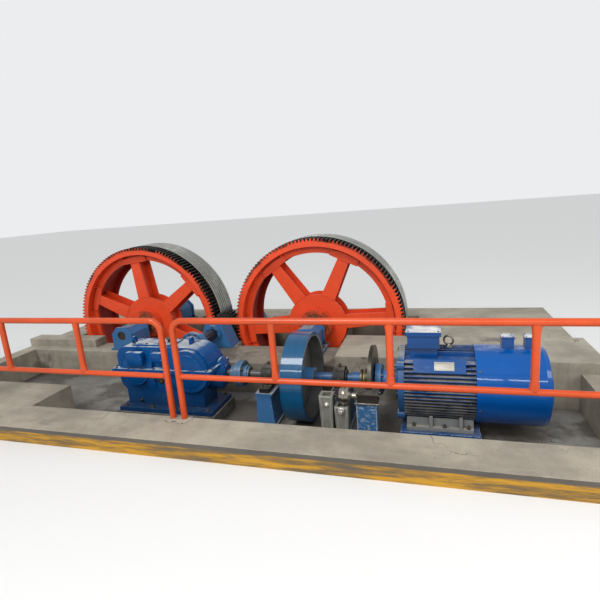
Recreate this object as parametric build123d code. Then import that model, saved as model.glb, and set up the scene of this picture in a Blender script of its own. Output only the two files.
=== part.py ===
"""Double wheel haul-off capstan with its drive, standing in its concrete foundation.

Two spoked rope wheels carry ring gears that mesh with one pinion between them. A split
gearbox turns the pinion shaft, and a line shaft with a brake wheel and a brake disc runs
from the gearbox to the motor. Millimetres. The origin is at the middle of the
foundation's underside, X runs along the line shaft towards the motor, Y away from the
guard rail, and Z up.
"""
import os
from math import acos, cos, pi, radians, sin, sqrt, tan

from build123d import *

# Foundation, from its front face to its rear face and along its length
FOUNDATION_LENGTH = 6500.0
SLAB_THICKNESS = 100.0
WHEEL_PIT_CLEARANCE = 115.0
DRIVE_PIT_DEPTH = 330.0
KERB_WIDTH = 360.0
KERB_STEP_WIDTH = 450.0
KERB_STEP_LENGTH = 1670.0
END_WALL = 200.0
LINE_SETBACK = 710.0
PLINTH_SETBACK = 470.0
PLINTH_DEPTH = 540.0
PLINTH_LEFT_SETBACK = 230.0
PLINTH_LEFT_REACH = 634.0
PLINTH_RIGHT_EXTRA = 140.0
RAISE = 100.0
RAISED_RIGHT_REACH = 378.0
RAISED_LEFT_REACH = 466.0
RAISED_LEFT_SETBACK = 120.0
WHEEL_GAP = 240.0
PIER_GAP = 115.0
PIER_DEPTH = 480.0
PIER_WIDTH = 460.0
REAR_WALL = 400.0

# Gear train
GEAR_MODULE = 14.0
WHEEL_TEETH = 142
PINION_TEETH = 22
TOOTH_THINNING = 1.2
PRESSURE_ANGLE = 20.0
GEAR_WIDTH = 150.0
GEAR_WALL = 61.0
PINION_OVERHANG = 5.0
TRAIN_OFFSET = -586.0
TRAIN_HEIGHT = 180.0

# Wheels: depths are behind the front face of the ring gear
RIM_WALL = 22.0
RIM_LIP = 58.0
RIM_PLATE = 25.0
DRUM_GAP = 12.0
DRUM_DEPTH = 505.0
ROPE_RING_STANDS = 21.0
ROPE_RING_WALL = 75.0
GROOVES = 6
GROOVE_DEPTH = 12.0
GROOVE_WIDTH = 14.0
SPOKES = 6
SPOKE_RECESS = 75.0
SPOKE_DEPTH = 230.0
SPOKE_PLATE = 20.0
SPOKE_WIDTH_RIM = 125.0
SPOKE_WIDTH_HUB = 165.0
PAD_LENGTH = 340.0
PAD_OVERHANG = 26.0
HUB_RADIUS = 350.0
HUB_BOX_RADIUS = 300.0
BOSS_RADIUS = 190.0
BOSS_STANDS = 95.0
BOSS_REAR_STANDS = 125.0
BOSS_RECESS_RADIUS = 135.0
BOSS_RECESS = 14.0
AXLE_RADIUS = 75.0
JOURNAL_RADIUS = 55.0
SPOKE_ANGLE_LEFT = 36.5
SPOKE_ANGLE_RIGHT = 5.0

# Bearing blocks of the wheels and the pinion
FIT = 0.05
BLOCK_SETBACK = 260.0
BLOCK_LENGTH = 350.0
BLOCK_PLATE = 32.0
BLOCK_STEP = 16.0
BLOCK_WIDTH = 270.0
BLOCK_TOP = 105.0
BLOCK_TOP_WIDTH = 120.0
BLOCK_SHOULDER = 25.0
BLOCK_FOOT = 25.0
BLOCK_FOOT_WIDTH = 360.0
PIER_EDGE = 20.0
END_GAP = 6.0
SHAFT_END_RECESS = 12.0
PINION_SHAFT_RADIUS = 60.0
PINION_BLOCK_TOP_WIDTH = 200.0
PINION_BLOCK_WIDTH = 420.0
PINION_BLOCK_LENGTH = 250.0
PINION_COVER_RADIUS = 96.0
PINION_COVER = 26.0
PINION_BLOCK_SETBACK = 360.0
PINION_LEDGE = 150.0
PINION_LEDGE_EDGE = 20.0
PINION_COUPLING_PLACE = 460.0
PINION_COUPLING_LENGTH = 240.0
PINION_COUPLING_HUB_RADIUS = 92.0
PINION_COUPLING_SLEEVE_RADIUS = 118.0
PINION_COUPLING_SLEEVE = 75.0
PINION_COUPLING_FLANGE_RADIUS = 150.0
PINION_COUPLING_FLANGE = 24.0

# Gearbox
GEARBOX_REACH = 424.0
GEARBOX_LENGTH = 975.0
GEARBOX_FRONT_REACH = 250.0
GEARBOX_REAR_REACH = 80.0
GEARBOX_ROUND = 215.0
GEARBOX_CORNER = 110.0
GEARBOX_FLANGE = 20.0
GEARBOX_LIP = 25.0
GEARBOX_BOSS = 40.0
GEARBOX_BOSS_MARGIN = 15.0
GEARBOX_LEFT_BOSS = 150.0
GEARBOX_LEFT_BOSS_REACH = 195.0
GEARBOX_RIB_WIDTH = 100.0
GEARBOX_RIBS = (290.0, 520.0)
GEARBOX_FOOT = 40.0
GEARBOX_FOOT_LIP = 40.0
GEARBOX_BED = 110.0
GEARBOX_BED_LIP = 20.0
GEARBOX_LID = (430.0, 190.0, 14.0)
GEARBOX_LUG = (18.0, 34.0, 30.0)
GEARBOX_LUG_HOLE = 15.0
OUTPUT_BOSS_RADIUS = 130.0
OUTPUT_BOSS = 35.0
BORE_DEPTH = 120.0
NOSE_RADIUS = 150.0
NOSE_FLANGE = 8.0
NOSE_END_RADIUS = 92.0
NOSE_LENGTH = 50.0

# Line shaft, from the gearbox to the motor
LINE_HEIGHT = 85.0
LINE_RADIUS = 40.0
LINE_INSIDE = 255.0
COUPLING_GAP = 55.0
COUPLING_LENGTH = 180.0
COUPLING_HUB_RADIUS = 68.0
COUPLING_SLEEVE_RADIUS = 80.0
COUPLING_SLEEVE = 40.0
COUPLING_FLANGE_RADIUS = 122.0
COUPLING_FLANGE = 32.0
FIRST_PILLOW_GAP = 185.0
BRAKE_WHEEL_GAP = 230.0
BRAKE_WHEEL_WIDTH = 185.0
BRAKE_WHEEL_RADIUS = 390.0
BRAKE_RIM = 32.0
BRAKE_WEB = 25.0
BRAKE_WEB_RIM = 35.0
BRAKE_WEB_HUB = 75.0
BRAKE_HUB_RADIUS = 78.0
BRAKE_HUB_STANDS = 12.0
SECOND_PILLOW_GAP = 240.0
DISC_GAP = 282.0
DISC_RADIUS = 285.0
DISC_THICKNESS = 30.0
DISC_HUB_RADIUS = 85.0
DISC_HUB_LENGTH = 50.0
SLEEVE_RADIUS = 52.0
SLEEVE_LENGTH = 110.0
MOTOR_COUPLING_GAP = 12.0
MOTOR_COUPLING_LENGTH = 136.0
MOTOR_COUPLING_FLANGE = 48.0
MOTOR_COUPLING_RADIUS = 130.0
MOTOR_COUPLING_HUB = 80.0

# Pillow blocks and their pedestals
PILLOW_HEIGHT = 105.0
PILLOW_LENGTH = 92.0
PILLOW_RADIUS = 100.0
PILLOW_COVER_RADIUS = 72.0
PILLOW_COVER = 14.0
PILLOW_FOOT = 42.0
PILLOW_FOOT_WIDTH = 340.0
PEDESTAL_TOP_WIDTH = 130.0
PEDESTAL_BASE_WIDTH = 170.0
PEDESTAL_PLATE = 20.0
PEDESTAL_EDGE = 16.0
PEDESTAL_DEPTH = 380.0

# Disc brake
CALIPER_GAP = 8.0
STAND_LENGTH = 155.0
STAND_DEPTH = 100.0
STAND_OFFSET = -10.0
CALIPER_DROP = 40.0
CALIPER_HEIGHT = 70.0
CALIPER_LENGTH = 160.0
CALIPER_REACH = 90.0
ACTUATOR_RADIUS = 70.0
ACTUATOR_LENGTH = 120.0
ACTUATOR_RING = 76.0
ACTUATOR_RING_WIDTH = 12.0
ACTUATOR_NECK = 46.0
ACTUATOR_NECK_RADIUS = 26.0
LEG_REACH = 94.0
LEG_WIDTH = 112.0
LEG_TAPER = 12.0
LEG_DEPTH = 100.0
LEG_GAP = 8.0
LEG_EXTRA = 85.0
LEG_WALL = 12.0

# Motor
MOTOR_GAP = 32.0
MOTOR_CENTRE_HEIGHT = 315.0
SHIELD_LENGTH = 73.0
SHIELD_FLANGE = 48.0
SHIELD_RADIUS = 285.0
SHIELD_CONE_RADIUS = 236.0
SHIELD_CAP_RADIUS = 150.0
SHIELD_CAP = 10.0
SHIELD_LUG_RADIUS = 36.0
FRAME_LENGTH = 520.0
FRAME_RADIUS = 262.0
FIN_HEIGHT = 36.0
FIN_ROWS = 8
FIN_PITCH = 28.0
FIN_THICKNESS = 7.0
CROWN_FINS = 3
PLATE_PAD = (380.0, 112.0, 46.0)
PLATE_PAD_ANGLE = 45.0
COWL_LENGTH = 510.0
COWL_RADIUS = 306.0
COWL_EDGE = 45.0
COWL_GRILLE_RADIUS = 205.0
COWL_GRILLE_RECESS = 12.0
COWL_BOX = (84.0, 42.0, 78.0)
COWL_BOXES = (196.0, 357.0)
COWL_BOX_LID = 12.0
COWL_BOX_SINK = 14.0
TERMINAL_BOX = (240.0, 290.0, 100.0)
TERMINAL_START = 25.0
TERMINAL_LID = (264.0, 314.0, 34.0)
TERMINAL_NECK = 64.0
TERMINAL_NECK_WIDTH = 220.0
TERMINAL_NECK_INSET = 15.0
FOOT_SPREAD = 245.0
FOOT_WIDTH = 110.0
FOOT_PAD = 30.0
FOOT_WALL = 26.0
FOOT_LEDGE = 35.0
FOOT_DROP = 190.0
FOOT_INSET = 12.0
FOOT_RIBS = (196.0, 415.0)
FOOT_CLEARANCE = 4.0
BED_MARGIN = 36.0

# Guard rail
RAIL_HEIGHT = 800.0
MIDDLE_RAIL_HEIGHT = 360.0
RAIL_SETBACK = 40.0
PIPE_RADIUS = 24.0
MIDDLE_RAIL_RADIUS = 21.0
RAIL_BEND = 90.0
RAIL_JOINT = -55.0
PANEL_GAP = 100.0
LEFT_PANEL_LENGTH = 3100.0
RIGHT_PANEL_LENGTH = 3205.0
LEFT_STUBS = (780.0, 785.0, 800.0)
RIGHT_STUBS = (787.0, 805.0, 850.0)
STUB_RADIUS = 24.0
STUB_FLARE = 33.0
STUB_FLAT = 20.0
STUB_FLARE_LENGTH = 75.0

# Places worked out from the sizes above
WHEEL_PITCH_RADIUS = GEAR_MODULE * WHEEL_TEETH / 2
PINION_PITCH_RADIUS = GEAR_MODULE * PINION_TEETH / 2
ROPE_RADIUS = WHEEL_PITCH_RADIUS + ROPE_RING_STANDS
ROPE_SEAT = ROPE_RADIUS - ROPE_RING_WALL
GEAR_BORE = WHEEL_PITCH_RADIUS - 1.25 * GEAR_MODULE - GEAR_WALL
RIM_BORE = GEAR_BORE - RIM_WALL
LIP_RADIUS = RIM_BORE - RIM_LIP
PAD_RADIUS = LIP_RADIUS - PAD_OVERHANG

HALL_LEVEL = SLAB_THICKNESS + WHEEL_PIT_CLEARANCE + ROPE_RADIUS - TRAIN_HEIGHT
PIT_FLOOR = HALL_LEVEL - DRIVE_PIT_DEPTH
TRAIN_Z = HALL_LEVEL + TRAIN_HEIGHT
LINE_Z = HALL_LEVEL + LINE_HEIGHT

TRAIN_X = TRAIN_OFFSET
LEFT_X = TRAIN_X - WHEEL_PITCH_RADIUS - PINION_PITCH_RADIUS
RIGHT_X = TRAIN_X + WHEEL_PITCH_RADIUS + PINION_PITCH_RADIUS
HALF = FOUNDATION_LENGTH / 2

FOUNDATION_WIDTH = (KERB_WIDTH + LINE_SETBACK + PLINTH_SETBACK + PLINTH_DEPTH + WHEEL_GAP + DRUM_DEPTH
                    + PIER_GAP + PIER_DEPTH + REAR_WALL)
FRONT = -FOUNDATION_WIDTH / 2
KERB_REAR = FRONT + KERB_WIDTH
LINE_Y = KERB_REAR + LINE_SETBACK
PLINTH_FRONT = LINE_Y + PLINTH_SETBACK
PLINTH_REAR = PLINTH_FRONT + PLINTH_DEPTH
GEAR_FRONT = PLINTH_REAR + WHEEL_GAP
DRUM_REAR = GEAR_FRONT + DRUM_DEPTH
PIER_FRONT = DRUM_REAR + PIER_GAP
WALL_FRONT = PIER_FRONT + PIER_DEPTH
BLOCK_FRONT = PLINTH_REAR - BLOCK_SETBACK
BLOCK_REAR_FRONT = PIER_FRONT + PIER_EDGE
SPOKE_FRONT = GEAR_FRONT + SPOKE_RECESS
SPOKE_REAR = SPOKE_FRONT + SPOKE_DEPTH
LIP_FRONT = SPOKE_FRONT + SPOKE_PLATE

GEARBOX_LEFT = TRAIN_X - GEARBOX_REACH
GEARBOX_RIGHT = GEARBOX_LEFT + GEARBOX_LENGTH
NOSE_END = GEARBOX_RIGHT + NOSE_LENGTH
COUPLING_START = NOSE_END + COUPLING_GAP
COUPLING_END = COUPLING_START + COUPLING_LENGTH
FIRST_PILLOW = COUPLING_END + FIRST_PILLOW_GAP
BRAKE_WHEEL_START = FIRST_PILLOW + BRAKE_WHEEL_GAP
BRAKE_WHEEL_END = BRAKE_WHEEL_START + BRAKE_WHEEL_WIDTH
SECOND_PILLOW = BRAKE_WHEEL_END + SECOND_PILLOW_GAP
DISC_X = SECOND_PILLOW + DISC_GAP
MOTOR_COUPLING_START = DISC_X + DISC_THICKNESS / 2 + MOTOR_COUPLING_GAP
MOTOR_FACE = MOTOR_COUPLING_START + MOTOR_COUPLING_LENGTH + MOTOR_GAP
FRAME_START = MOTOR_FACE + SHIELD_LENGTH
FRAME_END = FRAME_START + FRAME_LENGTH
COWL_END = FRAME_END + COWL_LENGTH
FEET_Z = LINE_Z - MOTOR_CENTRE_HEIGHT
RAIL_Y = KERB_REAR - RAIL_SETBACK


def save(node, shape):
    export_step(shape, f"parts/{node}.step")


def block(x0, x1, y0, y1, z0, z1):
    """A rectangular block between two corners."""
    return Pos((x0 + x1) / 2, (y0 + y1) / 2, (z0 + z1) / 2) * Box(x1 - x0, y1 - y0, z1 - z0)


def several(solids):
    """Like pieces that don't touch, kept as one node."""
    return Compound(children=list(solids))


def along_y(sketch, y0, y1):
    """A profile drawn in X and Z, run from y0 to y1."""
    return Pos(0, y0, 0) * extrude(Plane.XZ * sketch, amount=y0 - y1)


def along_x(sketch, x0, x1):
    """A profile drawn in Y and Z, run from x0 to x1."""
    return Pos(x0, 0, 0) * extrude(Plane.YZ * sketch, amount=x1 - x0)


def outline(points):
    return make_face(Polyline(*points, close=True))


def turned_y(points, x, z):
    """A profile of (radius, y) points turned about an axis along Y."""
    return Pos(x, 0, z) * revolve(outline(points), axis=Axis.Y)


def turned_x(points, y, z):
    """A profile of (x, radius) points turned about an axis along X."""
    return Pos(0, y, z) * revolve(outline(points), axis=Axis.X)


def ring_y(y0, y1, inner, outer, x=0, z=0):
    return turned_y([(inner, y0), (outer, y0), (outer, y1), (inner, y1)], x, z)


def rod_x(x0, x1, radius, y, z):
    return turned_x([(x0, 0), (x1, 0), (x1, radius), (x0, radius)], y, z)


# Foundation
def foundation():
    """Slab, kerb, pits, plinths, piers and rear wall, each a simple block."""
    slab, hall = SLAB_THICKNESS, HALL_LEVEL
    pit_left = LEFT_X - ROPE_RADIUS - WHEEL_PIT_CLEARANCE
    pit_right = RIGHT_X + ROPE_RADIUS + WHEEL_PIT_CLEARANCE
    left_end = LEFT_X + PLINTH_LEFT_REACH
    left_front = PLINTH_FRONT + PLINTH_LEFT_SETBACK
    right_start = RIGHT_X + RAISED_RIGHT_REACH
    right_rear = PLINTH_REAR + PLINTH_RIGHT_EXTRA
    save("foundation_slab", block(-HALF, HALF, FRONT, -FRONT, 0, slab))
    save("front_kerb", block(-HALF, HALF, FRONT, KERB_REAR, slab, hall))
    bed = block(-HALF, HALF, KERB_REAR, PLINTH_FRONT, slab, PIT_FLOOR)
    bed += block(-HALF, left_end, PLINTH_FRONT, left_front, slab, PIT_FLOOR)
    save("drive_pit_bed", bed)

    left = block(-HALF, -HALF + END_WALL, KERB_REAR, left_front, PIT_FLOOR, hall)
    left += block(-HALF, -HALF + KERB_STEP_LENGTH, KERB_REAR, KERB_REAR + KERB_STEP_WIDTH, PIT_FLOOR, hall)
    right = block(HALF - END_WALL, HALF, KERB_REAR, PLINTH_FRONT, PIT_FLOOR, hall)
    save("drive_pit_ends", several([left, right]))

    low = block(-HALF, left_end, left_front, PLINTH_REAR, slab, hall)
    low += block(-HALF, LEFT_X - RAISED_LEFT_REACH, left_front + RAISED_LEFT_SETBACK, PLINTH_REAR,
                 hall, hall + RAISE)
    save("plinth_left", low)
    ledge = PINION_BLOCK_WIDTH / 2 + PINION_LEDGE_EDGE
    middle = block(left_end, right_start, PLINTH_FRONT, PLINTH_REAR, slab, hall)
    middle += block(TRAIN_X - ledge, TRAIN_X + ledge, PLINTH_REAR, PLINTH_REAR + PINION_LEDGE, slab, hall)
    save("plinth_middle", middle)
    save("plinth_right", block(right_start, HALF, PLINTH_FRONT, right_rear, slab, hall + RAISE))

    side_left = block(-HALF, pit_left, PLINTH_REAR, WALL_FRONT, slab, hall)
    side_right = block(pit_right, HALF, right_rear, WALL_FRONT, slab, hall)
    save("wheel_pit_ends", several([side_left, side_right]))
    piers = [block(x - PIER_WIDTH / 2, x + PIER_WIDTH / 2, PIER_FRONT, WALL_FRONT, slab, hall)
             for x in (LEFT_X, TRAIN_X, RIGHT_X)]
    save("bearing_piers", several(piers))
    save("rear_wall", block(-HALF, HALF, WALL_FRONT, -FRONT, slab, hall))


# Gear teeth
def involute(angle):
    return tan(angle) - angle


def half_tooth(teeth, radius):
    """Half the angle that a tooth takes at a radius, in radians."""
    pitch = GEAR_MODULE * teeth / 2
    base = pitch * cos(radians(PRESSURE_ANGLE))
    half = (pi * GEAR_MODULE / 2 - TOOTH_THINNING) / 2 / pitch
    at = acos(min(1.0, base / max(radius, base)))
    return half + involute(radians(PRESSURE_ANGLE)) - involute(at)


def gear_outline(teeth, first, steps):
    """The toothed outline, with its first tooth at an angle in degrees."""
    pitch = GEAR_MODULE * teeth / 2
    root, tip = pitch - 1.25 * GEAR_MODULE, pitch + GEAR_MODULE
    points = []
    for tooth in range(teeth):
        middle = radians(first + 360.0 * tooth / teeth)
        flank = [root + (tip - root) * step / steps for step in range(steps + 1)]
        side = [(radius, half_tooth(teeth, radius)) for radius in flank]
        points += [(radius, middle - half) for radius, half in side]
        points += [(radius, middle + half) for radius, half in reversed(side)]
    return outline([(radius * cos(angle), radius * sin(angle)) for radius, angle in points])


# Wheels
def rope_ring_profile(y0, y1):
    """The rope ring's section as (radius, y): flat bands parted by narrow grooves."""
    points = [(ROPE_SEAT, y0), (ROPE_RADIUS, y0)]
    pitch = (y1 - y0) / (GROOVES + 1)
    for groove in range(GROOVES):
        middle = y0 + (groove + 1) * pitch
        points += [(ROPE_RADIUS, middle - GROOVE_WIDTH / 2), (ROPE_RADIUS - GROOVE_DEPTH, middle),
                   (ROPE_RADIUS, middle + GROOVE_WIDTH / 2)]
    return points + [(ROPE_RADIUS, y1), (ROPE_SEAT, y1)]


def rim_profile(drum_front):
    """The rim's barrel between its two end rings, with the plate that starts the rope ring."""
    start, end, plate = LIP_FRONT + RIM_PLATE, DRUM_REAR - RIM_PLATE, RIM_PLATE
    return [(RIM_BORE, start), (GEAR_BORE, start), (GEAR_BORE, drum_front), (ROPE_SEAT, drum_front),
            (ROPE_SEAT, drum_front + plate), (GEAR_BORE, drum_front + plate), (GEAR_BORE, end),
            (RIM_BORE, end)]


def rim_pad(angle, x):
    """A plate on the front lip across a spoke's end, straight inside and round outside."""
    half = PAD_LENGTH / 2
    body = ring_y(SPOKE_FRONT, LIP_FRONT, 0, RIM_BORE)
    body = body & block(PAD_RADIUS, RIM_BORE, SPOKE_FRONT, LIP_FRONT, -half, half)
    return Pos(x, 0, TRAIN_Z) * Rot(0, -angle, 0) * body


def spoke(angle, x):
    """One H section spoke, wider at the hub, from the hub plates to the rim."""
    wide, narrow = SPOKE_WIDTH_HUB / 2, SPOKE_WIDTH_RIM / 2
    flange = outline([(0, -wide), (HUB_RADIUS, -wide), (RIM_BORE, -narrow), (GEAR_BORE, -narrow),
                      (GEAR_BORE, narrow), (RIM_BORE, narrow), (HUB_RADIUS, wide), (0, wide)])
    web = Pos(GEAR_BORE / 2, 0) * Rectangle(GEAR_BORE, SPOKE_PLATE)
    body = along_y(flange, SPOKE_FRONT, LIP_FRONT)
    body += along_y(flange, SPOKE_REAR - SPOKE_PLATE, SPOKE_REAR)
    body += along_y(web, SPOKE_FRONT, SPOKE_REAR)
    body = body & ring_y(SPOKE_FRONT, SPOKE_REAR, HUB_RADIUS, RIM_BORE)
    body -= block(PAD_RADIUS, GEAR_BORE, SPOKE_FRONT, LIP_FRONT, -wide, wide)
    body -= ring_y(LIP_FRONT, LIP_FRONT + RIM_PLATE, LIP_RADIUS, GEAR_BORE)
    return Pos(x, 0, TRAIN_Z) * Rot(0, -angle, 0) * body


def hub(spoke_angle, x):
    """Two plates on a round box, with a boss through them and webs in line with the spokes."""
    front, rear, plate = SPOKE_FRONT, SPOKE_REAR, SPOKE_PLATE
    boss_front, boss_rear = front - BOSS_STANDS, rear + BOSS_REAR_STANDS
    section = [(AXLE_RADIUS, boss_front + BOSS_RECESS), (BOSS_RECESS_RADIUS, boss_front + BOSS_RECESS),
               (BOSS_RECESS_RADIUS, boss_front), (BOSS_RADIUS, boss_front), (BOSS_RADIUS, front),
               (HUB_RADIUS, front), (HUB_RADIUS, front + plate), (HUB_BOX_RADIUS, front + plate),
               (HUB_BOX_RADIUS, rear - plate), (HUB_RADIUS, rear - plate), (HUB_RADIUS, rear),
               (BOSS_RADIUS, rear), (BOSS_RADIUS, boss_rear), (AXLE_RADIUS, boss_rear)]
    body = turned_y(section, 0, 0)
    bar = along_y(Rectangle(2 * HUB_RADIUS, plate), front, rear)
    bar = bar & ring_y(front, rear, BOSS_RADIUS, HUB_RADIUS)
    for step in range(SPOKES // 2):
        body += Rot(0, -360 / SPOKES * step, 0) * bar
    return Pos(x, 0, TRAIN_Z) * Rot(0, -spoke_angle, 0) * body


def axle(x):
    first, last = BLOCK_FRONT + BLOCK_LENGTH + END_GAP, BLOCK_REAR_FRONT - END_GAP
    start = BLOCK_FRONT + SHAFT_END_RECESS
    end = BLOCK_REAR_FRONT + BLOCK_LENGTH - SHAFT_END_RECESS
    section = [(0, start), (JOURNAL_RADIUS, start), (JOURNAL_RADIUS, first), (AXLE_RADIUS, first),
               (AXLE_RADIUS, last), (JOURNAL_RADIUS, last), (JOURNAL_RADIUS, end), (0, end)]
    return turned_y(section, x, TRAIN_Z)


def wheel_block(x, y0):
    """A bearing block with chamfered shoulders, thicker at its two end plates, on a foot plate."""
    def shouldered(shrink):
        half, top, high = BLOCK_WIDTH / 2 - shrink, BLOCK_TOP_WIDTH / 2, BLOCK_TOP - shrink
        return outline([(-half, -TRAIN_HEIGHT), (half, -TRAIN_HEIGHT), (half, BLOCK_SHOULDER - shrink / 2),
                        (top, high), (-top, high), (-half, BLOCK_SHOULDER - shrink / 2)])
    y1 = y0 + BLOCK_LENGTH
    foot = Pos(0, BLOCK_FOOT / 2 - TRAIN_HEIGHT) * Rectangle(BLOCK_FOOT_WIDTH, BLOCK_FOOT)
    body = along_y(shouldered(BLOCK_STEP) + foot, y0, y1)
    body += along_y(shouldered(0), y0, y0 + BLOCK_PLATE) + along_y(shouldered(0), y1 - BLOCK_PLATE, y1)
    body -= ring_y(y0, y1, 0, JOURNAL_RADIUS + FIT)
    return Pos(x, 0, TRAIN_Z) * body


def wheel(side, x, spoke_angle):
    """Ring gear, rim with its end rings and pads, rope ring, spokes, hub, axle and bearing blocks."""
    toothed = gear_outline(WHEEL_TEETH, 180.0 / WHEEL_TEETH, 1) - Circle(GEAR_BORE)
    gear = along_y(toothed, GEAR_FRONT, GEAR_FRONT + GEAR_WIDTH)
    save(f"ring_gear_{side}", Pos(x, 0, TRAIN_Z) * gear)
    drum_front = GEAR_FRONT + GEAR_WIDTH + DRUM_GAP
    save(f"rim_{side}", turned_y(rim_profile(drum_front), x, TRAIN_Z))
    front_ring = ring_y(LIP_FRONT, LIP_FRONT + RIM_PLATE, LIP_RADIUS, GEAR_BORE, x, TRAIN_Z)
    save(f"rim_front_ring_{side}", front_ring)
    rear_ring = ring_y(DRUM_REAR - RIM_PLATE, DRUM_REAR, LIP_RADIUS, ROPE_SEAT, x, TRAIN_Z)
    save(f"rim_rear_ring_{side}", rear_ring)
    save(f"rope_ring_{side}", turned_y(rope_ring_profile(drum_front, DRUM_REAR), x, TRAIN_Z))
    angles = [spoke_angle + 360 / SPOKES * step for step in range(SPOKES)]
    save(f"rim_pads_{side}", several([rim_pad(angle, x) for angle in angles]))
    save(f"spokes_{side}", several([spoke(angle, x) for angle in angles]))
    save(f"hub_{side}", hub(spoke_angle, x))
    save(f"axle_{side}", axle(x))
    save(f"wheel_bearings_{side}", several([wheel_block(x, BLOCK_FRONT), wheel_block(x, BLOCK_REAR_FRONT)]))


# Pinion
def pinion():
    """The pinion, its shaft, a geared coupling and two wedge shaped bearing blocks with round covers."""
    toothed = gear_outline(PINION_TEETH, 0.0, 4) - Circle(PINION_SHAFT_RADIUS)
    gear = along_y(toothed, GEAR_FRONT - PINION_OVERHANG, GEAR_FRONT + GEAR_WIDTH + PINION_OVERHANG)
    save("pinion_gear", Pos(TRAIN_X, 0, TRAIN_Z) * gear)
    inside = LINE_Y + GEARBOX_REAR_REACH - BORE_DEPTH
    end = BLOCK_REAR_FRONT + PINION_BLOCK_LENGTH - SHAFT_END_RECESS
    save("pinion_shaft", ring_y(inside, end, 0, PINION_SHAFT_RADIUS, TRAIN_X, TRAIN_Z))
    middle, half = LINE_Y + PINION_COUPLING_PLACE, PINION_COUPLING_LENGTH / 2
    flange, sleeve = PINION_COUPLING_FLANGE, PINION_COUPLING_FLANGE + PINION_COUPLING_SLEEVE
    steps = [(PINION_SHAFT_RADIUS, half), (PINION_COUPLING_HUB_RADIUS, half),
             (PINION_COUPLING_HUB_RADIUS, sleeve), (PINION_COUPLING_SLEEVE_RADIUS, sleeve),
             (PINION_COUPLING_SLEEVE_RADIUS, flange), (PINION_COUPLING_FLANGE_RADIUS, flange)]
    points = [(r, middle + y) for r, y in steps] + [(r, middle - y) for r, y in reversed(steps)]
    save("pinion_coupling", turned_y(points, TRAIN_X, TRAIN_Z))
    wide, top = PINION_BLOCK_WIDTH / 2, PINION_BLOCK_TOP_WIDTH / 2
    wedge = outline([(-wide, -TRAIN_HEIGHT), (wide, -TRAIN_HEIGHT), (top, BLOCK_TOP), (-top, BLOCK_TOP)])
    bore = PINION_SHAFT_RADIUS + FIT
    blocks = []
    for y0 in (GEAR_FRONT - PINION_BLOCK_SETBACK, BLOCK_REAR_FRONT):
        y1 = y0 + PINION_BLOCK_LENGTH
        body = along_y(wedge, y0 + PINION_COVER, y1) + ring_y(y0, y1, 0, PINION_COVER_RADIUS)
        blocks.append(Pos(TRAIN_X, 0, TRAIN_Z) * (body - ring_y(y0, y1, 0, bore)))
    save("pinion_bearings", several(blocks))


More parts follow.
